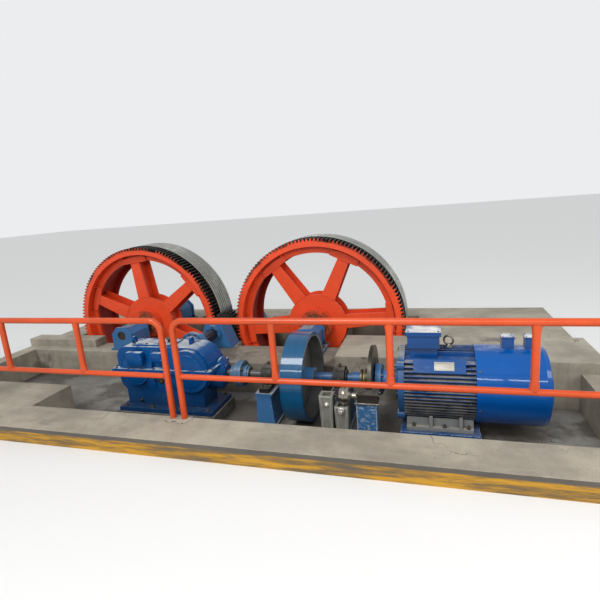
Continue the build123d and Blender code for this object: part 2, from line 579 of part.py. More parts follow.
# Gearbox
def gearbox():
    """Casing split at the shafts' level, with a rounded end, bosses, ribs and a nose round the input."""
    front, rear = LINE_Y - GEARBOX_FRONT_REACH, LINE_Y + GEARBOX_REAR_REACH
    middle_y = (front + rear) / 2
    round_x = GEARBOX_RIGHT - GEARBOX_ROUND
    straight = round_x - GEARBOX_LEFT
    top = TRAIN_Z + GEARBOX_ROUND
    profile = Rectangle(straight, 2 * GEARBOX_ROUND)
    profile = fillet(profile.vertices().group_by(Axis.X)[0], GEARBOX_CORNER)
    profile += Pos(straight / 2, 0) * Circle(GEARBOX_ROUND)
    profile = Pos((round_x + GEARBOX_LEFT) / 2, TRAIN_Z) * profile
    shell = along_y(profile, front + GEARBOX_BOSS, rear - GEARBOX_BOSS)
    shell += ring_y(front, rear, 0, GEARBOX_ROUND - GEARBOX_BOSS_MARGIN, round_x, TRAIN_Z)
    shell += ring_y(front, rear, 0, GEARBOX_LEFT_BOSS, GEARBOX_LEFT + GEARBOX_LEFT_BOSS_REACH, TRAIN_Z)
    shell += ring_y(rear - GEARBOX_BOSS, rear + OUTPUT_BOSS, 0, OUTPUT_BOSS_RADIUS, TRAIN_X, TRAIN_Z)
    high, inset = GEARBOX_ROUND - GEARBOX_BOSS_MARGIN, GEARBOX_BOSS
    wedge = outline([(front + inset, -high), (front, -GEARBOX_FLANGE), (front, GEARBOX_FLANGE),
                     (front + inset, high), (rear - inset, high), (rear, GEARBOX_FLANGE),
                     (rear, -GEARBOX_FLANGE), (rear - inset, -high)])
    for reach in GEARBOX_RIBS:
        x = GEARBOX_LEFT + reach
        shell += along_x(Pos(0, TRAIN_Z) * wedge, x, x + GEARBOX_RIB_WIDTH)
    lip = GEARBOX_LIP
    shell += block(GEARBOX_LEFT - lip, GEARBOX_RIGHT + lip, front - lip, rear + lip,
                   TRAIN_Z - GEARBOX_FLANGE, TRAIN_Z + GEARBOX_FLANGE)
    foot_z = PIT_FLOOR + GEARBOX_BED
    foot_lip = GEARBOX_FOOT_LIP
    shell += block(GEARBOX_LEFT, GEARBOX_RIGHT, front - foot_lip, rear + foot_lip,
                   foot_z, foot_z + GEARBOX_FOOT)
    shell += block(GEARBOX_LEFT + GEARBOX_CORNER / 2, round_x + GEARBOX_ROUND / 2,
                   front + inset, rear - inset, foot_z, TRAIN_Z)
    nose_flange = GEARBOX_RIGHT + NOSE_FLANGE
    shell += turned_x([(round_x, 0), (round_x, NOSE_RADIUS), (nose_flange, NOSE_RADIUS),
                       (NOSE_END, NOSE_END_RADIUS), (NOSE_END, 0)], LINE_Y, LINE_Z)
    length, width, thick = GEARBOX_LID
    middle = (GEARBOX_LEFT + round_x) / 2
    shell += block(middle - length / 2, middle + length / 2, middle_y - width / 2, middle_y + width / 2,
                   top - thick, top + thick)
    for x in (GEARBOX_LEFT + GEARBOX_CORNER + GEARBOX_LUG[0], round_x - GEARBOX_LUG[0]):
        shell += lifting_lug(x, middle_y, top)
    shell -= rod_x(NOSE_END - LINE_INSIDE, NOSE_END, LINE_RADIUS + FIT, LINE_Y, LINE_Z)
    shell -= ring_y(rear - BORE_DEPTH, rear + OUTPUT_BOSS, 0, PINION_SHAFT_RADIUS + FIT, TRAIN_X, TRAIN_Z)
    above = block(GEARBOX_LEFT - GEARBOX_ROUND, NOSE_END, front - GEARBOX_ROUND, rear + GEARBOX_ROUND,
                  TRAIN_Z, TRAIN_Z + 2 * GEARBOX_ROUND)
    save("gearbox_cover", shell & above)
    save("gearbox_base", shell - above)
    lip = GEARBOX_BED_LIP
    save("gearbox_bed", block(GEARBOX_LEFT - lip, GEARBOX_RIGHT + lip, front - foot_lip - lip,
                              rear + foot_lip + lip, PIT_FLOOR, foot_z))


def lifting_lug(x, y, top):
    """A plate with an eye, standing on the casing's top across its length."""
    thick, half, height = GEARBOX_LUG
    tab = Circle(half) + Pos(0, -height / 2) * Rectangle(2 * half, height) - Circle(GEARBOX_LUG_HOLE)
    return along_x(Pos(y, top + height) * tab, x - thick / 2, x + thick / 2)


# Line shaft
def gear_coupling():
    """Two flanged sleeves bolted together over two hubs."""
    middle = (COUPLING_START + COUPLING_END) / 2
    flange, sleeve = COUPLING_FLANGE, COUPLING_FLANGE + COUPLING_SLEEVE
    return turned_x([(COUPLING_START, LINE_RADIUS), (COUPLING_END, LINE_RADIUS),
                     (COUPLING_END, COUPLING_HUB_RADIUS), (middle + sleeve, COUPLING_HUB_RADIUS),
                     (middle + sleeve, COUPLING_SLEEVE_RADIUS), (middle + flange, COUPLING_SLEEVE_RADIUS),
                     (middle + flange, COUPLING_FLANGE_RADIUS), (middle - flange, COUPLING_FLANGE_RADIUS),
                     (middle - flange, COUPLING_SLEEVE_RADIUS), (middle - sleeve, COUPLING_SLEEVE_RADIUS),
                     (middle - sleeve, COUPLING_HUB_RADIUS), (COUPLING_START, COUPLING_HUB_RADIUS)],
                    LINE_Y, LINE_Z)


def brake_wheel():
    """A wide flat rim on a dished web."""
    start, end = BRAKE_WHEEL_START, BRAKE_WHEEL_END
    inner = BRAKE_WHEEL_RADIUS - BRAKE_RIM
    at_rim, at_hub = start + BRAKE_WEB_RIM, start + BRAKE_WEB_HUB
    return turned_x([(at_hub - BRAKE_HUB_STANDS, LINE_RADIUS), (end + BRAKE_HUB_STANDS, LINE_RADIUS),
                     (end + BRAKE_HUB_STANDS, BRAKE_HUB_RADIUS), (at_hub + BRAKE_WEB, BRAKE_HUB_RADIUS),
                     (at_rim + BRAKE_WEB, inner), (end, inner), (end, BRAKE_WHEEL_RADIUS),
                     (start, BRAKE_WHEEL_RADIUS), (start, inner), (at_rim, inner),
                     (at_hub, BRAKE_HUB_RADIUS), (at_hub - BRAKE_HUB_STANDS, BRAKE_HUB_RADIUS)],
                    LINE_Y, LINE_Z)


def brake_disc():
    """A plain disc on a hub, with the shaft sleeve beside it."""
    d0, d1 = DISC_X - DISC_THICKNESS / 2, DISC_X + DISC_THICKNESS / 2
    hub_start = d0 - DISC_HUB_LENGTH
    return turned_x([(hub_start - SLEEVE_LENGTH, LINE_RADIUS), (d1, LINE_RADIUS), (d1, DISC_RADIUS),
                     (d0, DISC_RADIUS), (d0, DISC_HUB_RADIUS), (hub_start, DISC_HUB_RADIUS),
                     (hub_start, SLEEVE_RADIUS), (hub_start - SLEEVE_LENGTH, SLEEVE_RADIUS)], LINE_Y, LINE_Z)


def line_shaft():
    save("gear_coupling", gear_coupling())
    save("line_shaft", rod_x(NOSE_END - LINE_INSIDE, FRAME_START, LINE_RADIUS, LINE_Y, LINE_Z))
    save("brake_wheel", brake_wheel())
    save("brake_disc", brake_disc())
    c0, c1 = MOTOR_COUPLING_START, MOTOR_COUPLING_START + MOTOR_COUPLING_LENGTH
    step = c0 + MOTOR_COUPLING_FLANGE
    save("motor_coupling", turned_x(
        [(c0, LINE_RADIUS), (c1, LINE_RADIUS), (c1, MOTOR_COUPLING_HUB), (step, MOTOR_COUPLING_HUB),
         (step, MOTOR_COUPLING_RADIUS), (c0, MOTOR_COUPLING_RADIUS)], LINE_Y, LINE_Z))
    save("pillow_blocks", several([pillow(x) for x in (FIRST_PILLOW, SECOND_PILLOW)]))
    save("line_pedestals", several([pedestal(x) for x in (FIRST_PILLOW, SECOND_PILLOW)]))


def pillow(x):
    """A pillow block: a round housing with end covers on a flat foot."""
    x0, x1 = x - PILLOW_LENGTH / 2, x + PILLOW_LENGTH / 2
    low = -PILLOW_HEIGHT
    section = Circle(PILLOW_RADIUS) + Pos(0, low / 2) * Rectangle(1.7 * PILLOW_RADIUS, -low)
    section += Pos(0, low + PILLOW_FOOT / 2) * Rectangle(PILLOW_FOOT_WIDTH, PILLOW_FOOT)
    body = along_x(Pos(LINE_Y, LINE_Z) * section, x0, x1)
    body += rod_x(x0 - PILLOW_COVER, x1 + PILLOW_COVER, PILLOW_COVER_RADIUS, LINE_Y, LINE_Z)
    return body - rod_x(x0 - PILLOW_COVER, x1 + PILLOW_COVER, LINE_RADIUS + FIT, LINE_Y, LINE_Z)


def pedestal(x):
    """A welded pedestal, wider at its foot, with a base plate and a top plate."""
    height = LINE_Z - PILLOW_HEIGHT - PIT_FLOOR
    top, foot, plate = PEDESTAL_TOP_WIDTH / 2, PEDESTAL_BASE_WIDTH / 2, PEDESTAL_PLATE
    body = outline([(-foot, 0), (foot, 0), (top, height), (-top, height)])
    body += Pos(0, plate / 2) * Rectangle(2 * (foot + PEDESTAL_EDGE), plate)
    body += Pos(0, height - plate / 2) * Rectangle(2 * (top + PEDESTAL_EDGE), plate)
    return along_y(Pos(x, PIT_FLOOR) * body, LINE_Y - PEDESTAL_DEPTH / 2, LINE_Y + PEDESTAL_DEPTH / 2)


# Disc brake
def disc_brake():
    """Stand, caliper round the disc's front edge, air chamber and two cast legs."""
    rear = LINE_Y - DISC_RADIUS - CALIPER_GAP
    front = rear - STAND_DEPTH
    seat = LINE_Z - CALIPER_DROP
    stand_x = DISC_X + STAND_OFFSET
    save("caliper_stand", block(stand_x - STAND_LENGTH / 2, stand_x + STAND_LENGTH / 2, front, rear,
                                PIT_FLOOR, seat))
    x0, x1 = DISC_X - CALIPER_LENGTH / 2, DISC_X + CALIPER_LENGTH / 2
    reach = rear + CALIPER_GAP + CALIPER_REACH
    body = block(x0, x1, front, reach, seat, seat + CALIPER_HEIGHT)
    slot = DISC_THICKNESS / 2 + CALIPER_GAP
    save("caliper", body - block(DISC_X - slot, DISC_X + slot, rear, reach, seat, seat + CALIPER_HEIGHT))

    middle_y, middle_z = front + STAND_DEPTH / 2, seat + CALIPER_HEIGHT / 2
    a1 = x0 - ACTUATOR_NECK
    a0 = a1 - ACTUATOR_LENGTH
    mid = (a0 + a1) / 2
    ring, dome, neck = ACTUATOR_RING_WIDTH / 2, ACTUATOR_RADIUS, ACTUATOR_NECK_RADIUS
    crown, shoulder = dome * 0.35, dome * 0.88
    save("brake_actuator", turned_x(
        [(a0, 0), (a0, dome / 2), (a0 + crown, shoulder), (mid - ring, dome), (mid - ring, ACTUATOR_RING),
         (mid + ring, ACTUATOR_RING), (mid + ring, dome), (a1 - crown, shoulder), (a1, dome / 2),
         (a1, neck), (x0, neck), (x0, 0)], middle_y, middle_z))
    right_leg = a0 + LEG_REACH
    low_top = middle_z - ACTUATOR_RING
    legs = [cast_leg(right_leg - LEG_WIDTH, middle_y, low_top),
            cast_leg(right_leg - 2 * LEG_WIDTH - LEG_GAP, middle_y, low_top + LEG_EXTRA)]
    save("actuator_legs", several(legs))


def cast_leg(x0, y, top):
    """A cast leg that narrows downwards, with a pocket open at its top."""
    x1 = x0 + LEG_WIDTH
    section = outline([(x0 + LEG_TAPER, PIT_FLOOR), (x1 - LEG_TAPER, PIT_FLOOR), (x1, top), (x0, top)])
    leg = along_y(section, y - LEG_DEPTH / 2, y + LEG_DEPTH / 2)
    wall = LEG_WALL + LEG_TAPER
    return leg - block(x0 + wall, x1 - wall, y - LEG_DEPTH / 2 + LEG_WALL, y + LEG_DEPTH / 2 - LEG_WALL,
                       (PIT_FLOOR + top) / 2, top)


# Motor
def end_shield():
    """Flange ring with four lugs, cone and bearing cap."""
    face, flange = MOTOR_FACE, FRAME_START - SHIELD_FLANGE
    bore = LINE_RADIUS + FIT
    body = turned_x([(face, bore), (FRAME_START, bore), (FRAME_START, SHIELD_RADIUS),
                     (flange, SHIELD_RADIUS), (flange, SHIELD_CONE_RADIUS),
                     (face + SHIELD_CAP, SHIELD_CAP_RADIUS), (face, SHIELD_CAP_RADIUS)],
                    LINE_Y, LINE_Z)
    for corner in range(4):
        turn = radians(45 + 90 * corner)
        y, z = LINE_Y + SHIELD_RADIUS * cos(turn), LINE_Z + SHIELD_RADIUS * sin(turn)
        body += rod_x(flange - SHIELD_CAP, FRAME_START, SHIELD_LUG_RADIUS, y, z)
    return body


def motor_frame():
    """A round frame with level fins on its sides, upright ones above and below, and a sloped flat pad."""
    tip = FRAME_RADIUS + FIN_HEIGHT
    section = Circle(FRAME_RADIUS)
    for row in range(-FIN_ROWS, FIN_ROWS + 1):
        away = row * FIN_PITCH
        half = sqrt(tip ** 2 - away ** 2)
        section += Pos(0, away) * Rectangle(2 * half, FIN_THICKNESS)
        if abs(row) <= CROWN_FINS:
            section += Pos(away, 0) * Rectangle(FIN_THICKNESS, 2 * half)
    body = along_x(Pos(LINE_Y, LINE_Z) * section, FRAME_START, FRAME_END)
    length, width, thick = PLATE_PAD
    middle = (FRAME_START + FRAME_END) / 2
    pad = Rot(0, 0, 180 - PLATE_PAD_ANGLE) * (Pos(tip - thick / 2, 0) * Rectangle(thick, width))
    return body + along_x(Pos(LINE_Y, LINE_Z) * pad, middle - length / 2, middle + length / 2)


def fan_cowl():
    """A plain round cowl with a rounded rear edge and a shallow recess behind."""
    edge = COWL_EDGE * (1 - cos(radians(45)))
    return turned_x([(FRAME_END, 0), (COWL_END - COWL_GRILLE_RECESS, 0),
                     (COWL_END - COWL_GRILLE_RECESS, COWL_GRILLE_RADIUS), (COWL_END, COWL_GRILLE_RADIUS),
                     (COWL_END, COWL_RADIUS - COWL_EDGE), (COWL_END - edge, COWL_RADIUS - edge),
                     (COWL_END - COWL_EDGE, COWL_RADIUS), (FRAME_END, COWL_RADIUS)], LINE_Y, LINE_Z)


def terminal_box(frame):
    """The box on its neck, with an overhanging lid."""
    length, width, height = TERMINAL_BOX
    lid_length, lid_width, lid = TERMINAL_LID
    x0, x1 = FRAME_START + TERMINAL_START, FRAME_START + TERMINAL_START + length
    seat = LINE_Z + FRAME_RADIUS + TERMINAL_NECK
    box = block(x0, x1, LINE_Y - width / 2, LINE_Y + width / 2, seat, seat + height)
    x = (x0 + x1) / 2
    box += block(x - lid_length / 2, x + lid_length / 2, LINE_Y - lid_width / 2, LINE_Y + lid_width / 2,
                 seat + height, seat + height + lid)
    inset = TERMINAL_NECK_INSET
    neck = block(x0 + inset, x1 - inset, LINE_Y - TERMINAL_NECK_WIDTH / 2, LINE_Y + TERMINAL_NECK_WIDTH / 2,
                 LINE_Z, seat)
    return box + (neck - frame)


def cowl_box(x):
    """A small terminal box with a lid, let into the top of the cowl."""
    length, half, height = COWL_BOX
    seat = LINE_Z + COWL_RADIUS
    lid = COWL_BOX_LID
    edge = lid / 2
    box = block(x, x + length, LINE_Y - half, LINE_Y + half, seat - COWL_BOX_SINK, seat + height)
    box += block(x - edge, x + length + edge, LINE_Y - half - edge, LINE_Y + half + edge,
                 seat + height, seat + height + lid)
    return box - rod_x(FRAME_END, COWL_END, COWL_RADIUS, LINE_Y, LINE_Z)


def motor_foot(side, frame):
    """One long foot: pad, upright wall near its outer edge and ribs, cut to the frame's round."""
    x0, x1 = FRAME_START + FOOT_INSET, FRAME_END - FOOT_INSET
    outer, inner = LINE_Y + side * FOOT_SPREAD, LINE_Y + side * (FOOT_SPREAD - FOOT_WIDTH)
    low, high = sorted((outer, inner))
    foot = block(x0, x1, low, high, FEET_Z, FEET_Z + FOOT_PAD)
    ledge = outer - side * FOOT_LEDGE
    wall0, wall1 = sorted((ledge, ledge - side * FOOT_WALL))
    foot += block(x0, x1, wall0, wall1, FEET_Z, LINE_Z - FOOT_DROP)
    for place in FOOT_RIBS:
        x = FRAME_START + place
        foot += block(x - FOOT_WALL / 2, x + FOOT_WALL / 2, low, high, FEET_Z, LINE_Z - FOOT_DROP)
    return foot - rod_x(x0, x1, FRAME_RADIUS + FIN_HEIGHT + FOOT_CLEARANCE, LINE_Y, LINE_Z)


def motor():
    frame = motor_frame()
    save("motor_end_shield", end_shield())
    save("motor_frame", frame)
    save("motor_fan_cowl", fan_cowl())
    save("motor_cowl_boxes", several([cowl_box(FRAME_END + reach) for reach in COWL_BOXES]))
    save("motor_terminal_box", terminal_box(frame))
    save("motor_feet", several([motor_foot(side, frame) for side in (-1, 1)]))
    outer, edge = FOOT_SPREAD + BED_MARGIN, BED_MARGIN
    save("motor_bed_plate", block(FRAME_START - edge, FRAME_END + edge, LINE_Y - outer, LINE_Y + outer,
                                  PIT_FLOOR, FEET_Z))


# Guard rail
def stub_post(x, low, high):
    """A short pipe post, pressed flat and wide at both ends."""
    round_end, flat_end = Circle(STUB_RADIUS), Ellipse(STUB_FLARE, STUB_FLAT)
    levels = ((low, flat_end), (low + STUB_FLARE_LENGTH, round_end), (high - STUB_FLARE_LENGTH, round_end),
              (high, flat_end))
    return loft([Pos(x, RAIL_Y, z) * section for z, section in levels], ruled=True)


def railing():
    """Two bent pipe panels, each with a middle rail and stub posts between its rails."""
    top, mid = HALL_LEVEL + RAIL_HEIGHT, HALL_LEVEL + MIDDLE_RAIL_HEIGHT
    mids, stubs = [], []
    for side, sign, length, steps in (("left", -1, LEFT_PANEL_LENGTH, LEFT_STUBS),
                                      ("right", 1, RIGHT_PANEL_LENGTH, RIGHT_STUBS)):
        inner = RAIL_JOINT + sign * PANEL_GAP / 2
        x0, x1 = sorted((inner, inner + sign * length))
        path = FilletPolyline((x0, RAIL_Y, HALL_LEVEL), (x0, RAIL_Y, top), (x1, RAIL_Y, top),
                              (x1, RAIL_Y, HALL_LEVEL), radius=RAIL_BEND)
        pipe = sweep(Pos(x0, RAIL_Y, HALL_LEVEL) * Circle(PIPE_RADIUS), path=path)
        save(f"guard_frame_{side}", pipe)
        rail = rod_x(x0, x1, MIDDLE_RAIL_RADIUS, RAIL_Y, mid) - pipe
        mids.append(rail)
        x = inner
        for step in steps:
            x += sign * step
            stubs.append(stub_post(x, mid, top) - pipe - rail)
    save("guard_middle_rails", several(mids))
    save("guard_stub_posts", several(stubs))


os.makedirs("parts", exist_ok=True)
foundation()
wheel("left", LEFT_X, SPOKE_ANGLE_LEFT)
wheel("right", RIGHT_X, SPOKE_ANGLE_RIGHT)
pinion()
gearbox()
line_shaft()
disc_brake()
motor()
railing()
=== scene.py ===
"""Finishes and small fittings of a double wheel haul-off capstan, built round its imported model.

Metres, in the model's own frame: X runs along the line shaft towards the motor, Y from the guard
rail to the wheels, and Z up. The frame is loaded first, and every piece takes its place from it.
"""
import math
import random

import bmesh
import bpy
from bpy.props import FloatProperty, FloatVectorProperty, PointerProperty
from bpy.types import Operator, Panel, PropertyGroup
from mathutils import Matrix, Vector
from mathutils import noise as field


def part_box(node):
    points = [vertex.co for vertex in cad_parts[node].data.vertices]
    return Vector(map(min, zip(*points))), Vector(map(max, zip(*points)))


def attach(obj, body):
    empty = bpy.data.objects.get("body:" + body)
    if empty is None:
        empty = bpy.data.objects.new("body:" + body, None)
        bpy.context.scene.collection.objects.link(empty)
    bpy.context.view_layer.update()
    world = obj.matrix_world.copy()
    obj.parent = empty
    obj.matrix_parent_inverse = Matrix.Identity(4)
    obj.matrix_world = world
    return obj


bl_info = {
    "name": "Haul-off capstan finishes",
    "version": (1, 0, 0),
    "blender": (4, 5, 0),
    "location": "View3D > Sidebar > Capstan",
    "description": "Paints, concrete, bolts, welds and motor fittings of a geared haul-off capstan",
    "category": "Object",
}

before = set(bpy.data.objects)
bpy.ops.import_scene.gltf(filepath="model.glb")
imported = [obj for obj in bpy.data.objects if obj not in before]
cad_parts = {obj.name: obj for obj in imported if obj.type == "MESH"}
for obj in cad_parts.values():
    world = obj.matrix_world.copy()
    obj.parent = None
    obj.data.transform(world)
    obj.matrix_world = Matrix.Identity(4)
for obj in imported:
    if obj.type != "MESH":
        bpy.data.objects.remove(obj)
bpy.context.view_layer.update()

# Where the photograph was taken from, its lens, and the stage
CAMERA_AT = (1.85, -4.318, 2.63)
CAMERA_RIGHT = (0.9577, 0.2777, -0.0763)
CAMERA_UP = (0.0113, 0.2287, 0.9734)
CAMERA_BACK = (0.2878, -0.9331, 0.2159)
CAMERA_LENS = 26.26
SENSOR_WIDTH = 36.0
FLOOR_REACH = 60.0
SUN_SPREAD = 0.35

# Directions
UP, DOWN = (0, 0, 1), (0, 0, -1)
TO_FRONT, TO_REAR = (0, -1, 0), (0, 1, 0)
TO_LEFT, TO_RIGHT = (-1, 0, 0), (1, 0, 0)
ROUND_X, ROUND_Y = (0.0, 1.0, 1.0), (1.0, 0.0, 1.0)
SIDES = ("left", "right")

# Sizes of the modelled parts that their boxes don't give
SPOKES = 6
SPOKE_ANGLES = {"left": 36.5, "right": 5.0}
SPOKE_PLATE = 0.020
SPOKE_HALF_AT_HUB = 0.0825
SPOKE_HALF_AT_PAD = 0.066
PAD_HALF = 0.170
PAD_RADIUS = 0.8095
PAD_OUTER = 0.8935
GEAR_ROOT = 0.9765
WHEEL_BLOCK = 0.35
PINION_BLOCK = 0.25
CASING_LENGTH = 0.975
CASING_ROUND = 0.215
CASING_LIP = 0.0125
CASING_FLANGE = 0.020
BED_EDGE = 0.020
LEG_WIDTH = 0.112
COWL_BOX = 0.096

# Places and fits of the fittings that are made here. The casing's pads are left, right, low and high.
CASING_PADS = ((-0.842, -0.682, 1.292, 1.418), (-0.578, -0.474, 1.332, 1.418))
CLEAT_ANGLE = 10.2
SHAFT_FIT = 0.0405
SLEEVE_FIT = 0.0515
BOLT_SINK = 0.001

# Colours and finishes that several pieces share
STEEL_DARK = (62, 58, 52)
GREASE = (22, 19, 16)
DUST = (176, 168, 152)
CHIP_GREY = (150, 158, 160)
WHEEL_FINISH = {"chips": 0.3, "grime_and_shade": 0.5, "gloss": 0.34, "radius": 0.005}


def middle(node):
    low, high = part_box(node)
    return (low + high) / 2


SHAFT = middle("line_shaft")


# Colours and sizes that a user may change
def colour_of(label, note, rgb):
    return FloatVectorProperty(name=label, description=note, subtype="COLOR_GAMMA", size=3, min=0.0,
                               max=1.0, default=tuple(part / 255 for part in rgb))


def length_of(label, note, metres):
    return FloatProperty(name=label, description=note, default=metres, min=0.0005, unit="LENGTH",
                         precision=4)


class CapstanPaints(PropertyGroup):
    wheel: colour_of("Wheel orange", "Paint of the wheels' spokes, hubs and rims", (226, 74, 34))
    # The drum red stands for the wheel orange in the shade inside the rims: a painted shade
    drum: colour_of("Drum red", "Older paint inside the rims", (150, 38, 22))
    rail: colour_of("Rail orange", "Paint of the guard rail", (198, 72, 22))
    gearbox: colour_of("Gearbox blue", "Paint of the gear casing", (0, 72, 132))
    brake: colour_of("Brake wheel blue", "Paint of the brake wheel", (8, 74, 112))
    pedestal: colour_of("Pedestal blue", "Paint of pedestals and bearing blocks", (54, 108, 158))
    motor: colour_of("Motor blue", "Paint of the motor", (0, 68, 132))
    concrete: colour_of("Concrete", "Plinths and walls", (158, 151, 136))
    kerb: colour_of("Kerb concrete", "Top of the front kerb", (158, 150, 134))
    band: colour_of("Kerb band", "Worn yellow band on the kerb's front face", (184, 136, 38))


class CapstanFasteners(PropertyGroup):
    anchor: length_of("Anchor nut", "Width across flats of the nuts on anchor bolts", 0.041)
    flange: length_of("Flange bolt", "Width across flats of the casing's flange bolts", 0.027)
    cover: length_of("Cover bolt", "Width across flats of bolts in covers", 0.019)
    screw: length_of("Screw", "Width across flats of small screws", 0.012)
    bead: length_of("Weld bead", "Radius of the weld beads", 0.0045)


class CapstanStage(PropertyGroup):
    floor_level: FloatProperty(name="Floor level", default=0.92, unit="LENGTH",
                               description="Height of the aisle floor above the underside")
    sky: FloatProperty(name="Soft light", default=0.62, min=0.0,
                       description="Strength of the light from all round")
    key: FloatProperty(name="Key light", default=1.35, min=0.0, description="Strength of the soft sun")


def paints():
    return bpy.context.scene.capstan_paints


def sizes():
    return bpy.context.scene.capstan_fasteners


# Node trees
def ink(rgb, level=1.0):
    """A 0 to 255 colour, or one of the user's colours, as the shader takes it."""
    parts = [part / 255 for part in rgb] if max(rgb) > 1.0 else list(rgb)
    return tuple(level * (part / 12.92 if part <= 0.04045 else ((part + 0.055) / 1.055) ** 2.4)
                 for part in parts) + (1.0,)


def join(source, target):
    """Links a wire to a socket, or sets a plain value."""
    if isinstance(source, Wire):
        target.id_data.links.new(source.socket, target)
    else:
        target.default_value = source


def add(tree, kind, values=None, **settings):
    """A node with its settings, and its inputs by name or number."""
    node = tree.nodes.new(kind)
    for label, value in settings.items():
        setattr(node, label, value)
    for label, value in (values or {}).items():
        join(value, node.inputs[label])
    return node


def place_of(tree):
    return Wire(add(tree, "ShaderNodeTexCoord").outputs["Object"])


class Wire:
    """A node's output, with the sums, masks, patterns and shared effects that start from it."""

    def __init__(self, socket):
        self.socket = socket
        self.tree = socket.id_data

    def make(self, kind, values, output=0, **settings):
        return Wire(add(self.tree, kind, values, **settings).outputs[output])

    def maths(self, operation, first, second=0.0):
        return self.make("ShaderNodeMath", {0: first, 1: second}, operation=operation)

    def __add__(self, other):
        return self.maths("ADD", self, other)

    def __sub__(self, other):
        return self.maths("SUBTRACT", self, other)

    def __rsub__(self, other):
        return self.maths("SUBTRACT", other, self)

    def __mul__(self, other):
        return self.maths("MULTIPLY", self, other)

    def __truediv__(self, other):
        return self.maths("DIVIDE", self, other)

    def clamped(self):
        """The same sum, held between 0 and 1."""
        self.socket.node.use_clamp = True
        return self

    def between(self, low, high):
        """A mask that rises smoothly from 0 at low to 1 at high."""
        return self.make("ShaderNodeMapRange", {"Value": self, "From Min": low, "From Max": high},
                         "Result", interpolation_type="SMOOTHSTEP")

    def span(self, low, high):
        """A 0 to 1 value carried to a range."""
        return self.make("ShaderNodeMapRange", {"Value": self, "To Min": low, "To Max": high}, "Result")

    def blend(self, under, over):
        """A colour laid over another where this mask is 1."""
        under, over = (side if isinstance(side, Wire) or len(side) == 4 else ink(side)
                       for side in (under, over))
        return self.make("ShaderNodeMix", {0: self, 6: under, 7: over}, 2, data_type="RGBA")

    def vector(self, operation, other=(0.0, 0.0, 0.0)):
        output = "Value" if operation in ("LENGTH", "DOT_PRODUCT") else "Vector"
        return self.make("ShaderNodeVectorMath", {0: self, 1: other}, output, operation=operation)

    def part(self, axis):
        return self.make("ShaderNodeSeparateXYZ", {"Vector": self}, axis)

    def face(self, axis):
        """How far the surface faces along an axis."""
        return self.make("ShaderNodeNewGeometry", {}, "Normal").part(axis)

    def stretched(self, scale):
        return self.make("ShaderNodeMapping", {"Vector": self, "Scale": scale}, "Vector")

    def noise(self, scale, detail=4.0, roughness=0.55):
        return self.make("ShaderNodeTexNoise", {"Vector": self, "Scale": scale, "Detail": detail,
                                                "Roughness": roughness}, "Fac")

    def use(self, maker, **values):
        """A shared effect's outputs by name. Its group is built the first time."""
        if maker.__name__ not in bpy.data.node_groups:
            maker()
        group = bpy.data.node_groups[maker.__name__]
        outputs = add(self.tree, "ShaderNodeGroup", values, node_tree=group).outputs
        return {socket.name: Wire(socket) for socket in outputs}

    def patches(self, scale, coverage, softness):
        """Ragged islands that cover about a share of the surface."""
        return self.use(ragged_patches, Vector=self, Scale=scale, Coverage=coverage,
                        Softness=softness)["Mask"]

    def radius(self, centre, across=ROUND_Y):
        """How far a point stands from an axle: across is 0 along the axle and 1 across it."""
        return self.use(axle_distance, Centre=tuple(centre), Across=across)["Radius"]


# Effects that several materials share
def effect(name, inputs, *outputs):
    """An empty group with its named sockets, as (place, inputs, outputs)."""
    tree = bpy.data.node_groups.new(name, "ShaderNodeTree")
    for label, value in inputs.items():
        kind = "NodeSocketVector" if isinstance(value, tuple) else "NodeSocketFloat"
        socket = tree.interface.new_socket(name=label, in_out="INPUT", socket_type=kind)
        socket.default_value = value
    for label in outputs:
        kind = "NodeSocketVector" if label == "Normal" else "NodeSocketFloat"
        tree.interface.new_socket(name=label, in_out="OUTPUT", socket_type=kind)
    given = {socket.name: Wire(socket) for socket in tree.nodes.new("NodeGroupInput").outputs}
    return place_of(tree), given, tree.nodes.new("NodeGroupOutput").inputs


def edge_wear():
    place, given, result = effect("edge_wear", {"Radius": 0.006, "Breakup": 30.0, "Amount": 0.5},
                                  "Worn", "Normal")
    rounded = place.make("ShaderNodeBevel", {"Radius": given["Radius"]}, "Normal", samples=4)
    flat = place.make("ShaderNodeNewGeometry", {}, "Normal")
    edge = (1.0 - rounded.vector("DOT_PRODUCT", flat)).between(0.01, 0.09)
    limit = 0.85 - given["Amount"] * 0.5
    kept = (place.noise(given["Breakup"], 6.0, 0.7) - limit).between(0.0, 0.04)
    join((edge * kept).clamped(), result["Worn"])
    join(rounded, result["Normal"])


def settled_dust():
    place, given, result = effect("settled_dust", {"Amount": 0.5, "Scale": 8.0, "Level": 0.8}, "Dust")
    ragged = place.noise(18.0, 4.0, 0.6).span(-0.06, 0.06)
    flat = (place.face("Z") + ragged - given["Level"]).between(0.0, 0.14)
    cloud = place.noise(given["Scale"], 5.0, 0.6).between(0.3, 0.56)
    join((flat * cloud * given["Amount"]).clamped(), result["Dust"])


# Dirt and painted shade where nearby surfaces shut a point in: ambient occlusion broken up by a cloud
def corner_dirt_and_shade():
    place, given, result = effect("corner_dirt_and_shade", {"Reach": 0.06, "Amount": 0.6}, "Dirt_and_shade")
    open_air = place.make("ShaderNodeAmbientOcclusion", {"Distance": given["Reach"]}, "AO", samples=6)
    shut = (1.0 - open_air).between(0.25, 0.9)
    cloud = place.noise(14.0, 5.0, 0.65).span(0.3, 1.5)
    join((shut * cloud * given["Amount"]).clamped(), result["Dirt_and_shade"])


def ragged_patches():
    _, given, result = effect("ragged_patches", {"Vector": (0.0, 0.0, 0.0), "Scale": 3.0,
                                                 "Coverage": 0.4, "Softness": 0.1}, "Mask")
    over = given["Vector"].noise(given["Scale"], 7.0, 0.62) - given["Coverage"].span(0.72, 0.32)
    join((over / given["Softness"] + 0.5).clamped(), result["Mask"])


